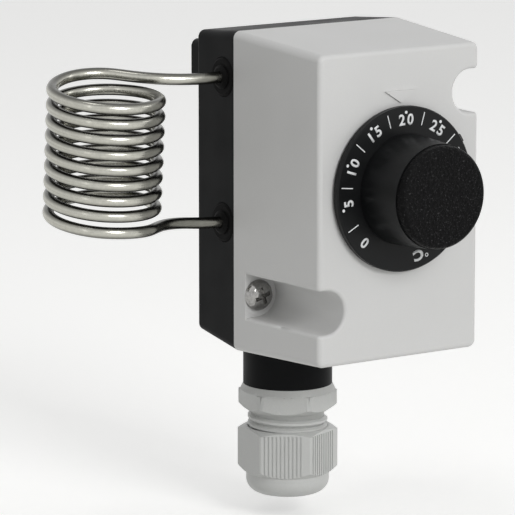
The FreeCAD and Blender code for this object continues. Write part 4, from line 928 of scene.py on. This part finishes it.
class THERMOSTAT_OT_stage(bpy.types.Operator):
    """Sets the pale floor, the soft lamps, the even sky and the camera"""

    bl_idname = "thermostat.stage"
    bl_label = "Set Stage"
    bl_options = {"REGISTER", "UNDO"}

    def execute(self, context):
        select_only()
        bpy.ops.mesh.primitive_plane_add(size=FLOOR_SIZE, location=(0, FLOOR_SHIFT, lowest_z - NUT_TRAVEL))
        floor = context.object
        floor.name = "studio_floor"
        bpy.ops.object.mode_set(mode="EDIT")
        bpy.ops.mesh.select_all(action="SELECT")
        bpy.ops.mesh.bevel(affect="VERTICES", offset=FLOOR_ROUND, segments=6)
        bpy.ops.object.mode_set(mode="OBJECT")
        settle(floor)
        material, tree, place = blank_material("matt_paper_floor")
        fibre = add_node(
            tree, "ShaderNodeTexNoise", (-900, 0),
            values={"Scale": 1 / (3.0 * MM), "Detail": 3.0},
            links={"Vector": place},
        )
        tint = add_node(
            tree, "ShaderNodeValToRGB", (-500, 0),
            links={"Fac": fibre.outputs["Fac"]},
            stops=[(0.3, linear("#f2f2f0")), (0.7, linear("#f6f6f4"))],
        )
        # Seen straight or in metal, the paper is brighter than the lamps make it, which lights nothing else.
        lift = add_node(
            tree, "ShaderNodeMath", (-250, -300),
            values={1: FLOOR_LIFT},
            links={0: seen_rays(tree)},
            settings={"operation": "MULTIPLY"},
        )
        paper = add_node(
            tree, "ShaderNodeBsdfPrincipled", (300, 0),
            values={"Roughness": 0.9, "IOR": 1.4, "Emission Color": (1.0, 1.0, 1.0, 1.0)},
            links={"Base Color": tint.outputs["Color"], "Emission Strength": lift.outputs["Value"]},
        )
        close_material(tree, paper)
        set_finish(floor, material)

        world = bpy.data.worlds.new("even_sky")
        context.scene.world = world
        world.use_nodes = True
        tree = world.node_tree
        tree.nodes.clear()
        level = add_node(
            tree, "ShaderNodeMapRange", (-250, 100),
            values={"To Min": SKY_LEVEL, "To Max": 1.0},
            links={"Value": seen_rays(tree)},
        )
        sky = add_node(
            tree, "ShaderNodeBackground", (0, 0),
            values={"Color": (1.0, 1.0, 1.0, 1.0)},
            links={"Strength": level.outputs["Result"]},
        )
        add_node(tree, "ShaderNodeOutputWorld", (300, 0), links={"Surface": sky.outputs["Background"]})

        # Places and sizes in metres, power in watts.
        middle = (-0.02, -0.03, -0.01)
        soft_lamp("key_box", (-0.08, -1.38, 0.64), middle, (0.55, 0.55), 9.4)
        soft_lamp("top_box", (-0.25, -0.05, 0.95), middle, (0.3, 0.3), 1.2)
        soft_lamp("left_strip", (-1.10, -0.55, 0.35), middle, (0.12, 0.9), 0.3)
        soft_lamp("right_strip", (0.95, -0.60, 0.30), middle, (0.12, 0.9), 1.2)

        data = bpy.data.cameras.new("photo_camera")
        data.sensor_width = SENSOR_WIDTH
        data.lens = FOCAL_PIXELS / PHOTO_WIDTH * SENSOR_WIDTH
        data.clip_start = 0.05
        data.clip_end = 50.0
        camera = bpy.data.objects.new("photo_camera", data)
        camera.location = CAMERA_PLACE
        camera.rotation_euler = (CAMERA_TARGET - CAMERA_PLACE).to_track_quat("-Z", "Y").to_euler()
        context.collection.objects.link(camera)
        context.scene.camera = camera
        context.scene.view_settings.view_transform = "Standard"
        return {"FINISHED"}


# Panel and registration

OPERATORS = (
    THERMOSTAT_OT_housing_finish,
    THERMOSTAT_OT_knob_finish,
    THERMOSTAT_OT_dial_figures,
    THERMOSTAT_OT_dial_marks,
    THERMOSTAT_OT_sensor_finish,
    THERMOSTAT_OT_gland_body,
    THERMOSTAT_OT_gland_finish,
    THERMOSTAT_OT_cover_screws,
    THERMOSTAT_OT_fastener_finish,
    THERMOSTAT_OT_mechanism_finish,
    THERMOSTAT_OT_stage,
)


class THERMOSTAT_PT_builder(bpy.types.Panel):
    """Lists the builder's steps, sizes and colours"""

    bl_idname = "THERMOSTAT_PT_builder"
    bl_label = "Capillary Thermostat"
    bl_space_type = "VIEW_3D"
    bl_region_type = "UI"
    bl_category = "Thermostat"

    def draw(self, context):
        column = self.layout.column(align=True)
        for operator in OPERATORS:
            column.operator(operator.bl_idname)
        for group in (context.scene.thermostat_sizes, context.scene.thermostat_colours):
            box = self.layout.box()
            for name in group.__annotations__:
                box.prop(group, name)


CLASSES = (ThermostatSizes, ThermostatColours) + OPERATORS + (THERMOSTAT_PT_builder,)


def register():
    for item in CLASSES:
        bpy.utils.register_class(item)
    bpy.types.Scene.thermostat_sizes = bpy.props.PointerProperty(type=ThermostatSizes)
    bpy.types.Scene.thermostat_colours = bpy.props.PointerProperty(type=ThermostatColours)


def unregister():
    del bpy.types.Scene.thermostat_colours
    del bpy.types.Scene.thermostat_sizes
    for item in reversed(CLASSES):
        bpy.utils.unregister_class(item)


def main():
    register()
    bpy.ops.thermostat.housing_finish()
    bpy.ops.thermostat.knob_finish()
    bpy.ops.thermostat.dial_figures()
    bpy.ops.thermostat.dial_marks()
    bpy.ops.thermostat.sensor_finish()
    bpy.ops.thermostat.gland_body()
    bpy.ops.thermostat.gland_finish()
    bpy.ops.thermostat.cover_screws()
    bpy.ops.thermostat.fastener_finish()
    bpy.ops.thermostat.mechanism_finish()
    bpy.ops.thermostat.stage()
    select_only()
    bpy.context.view_layer.update()


if __name__ == "__main__":
    main()
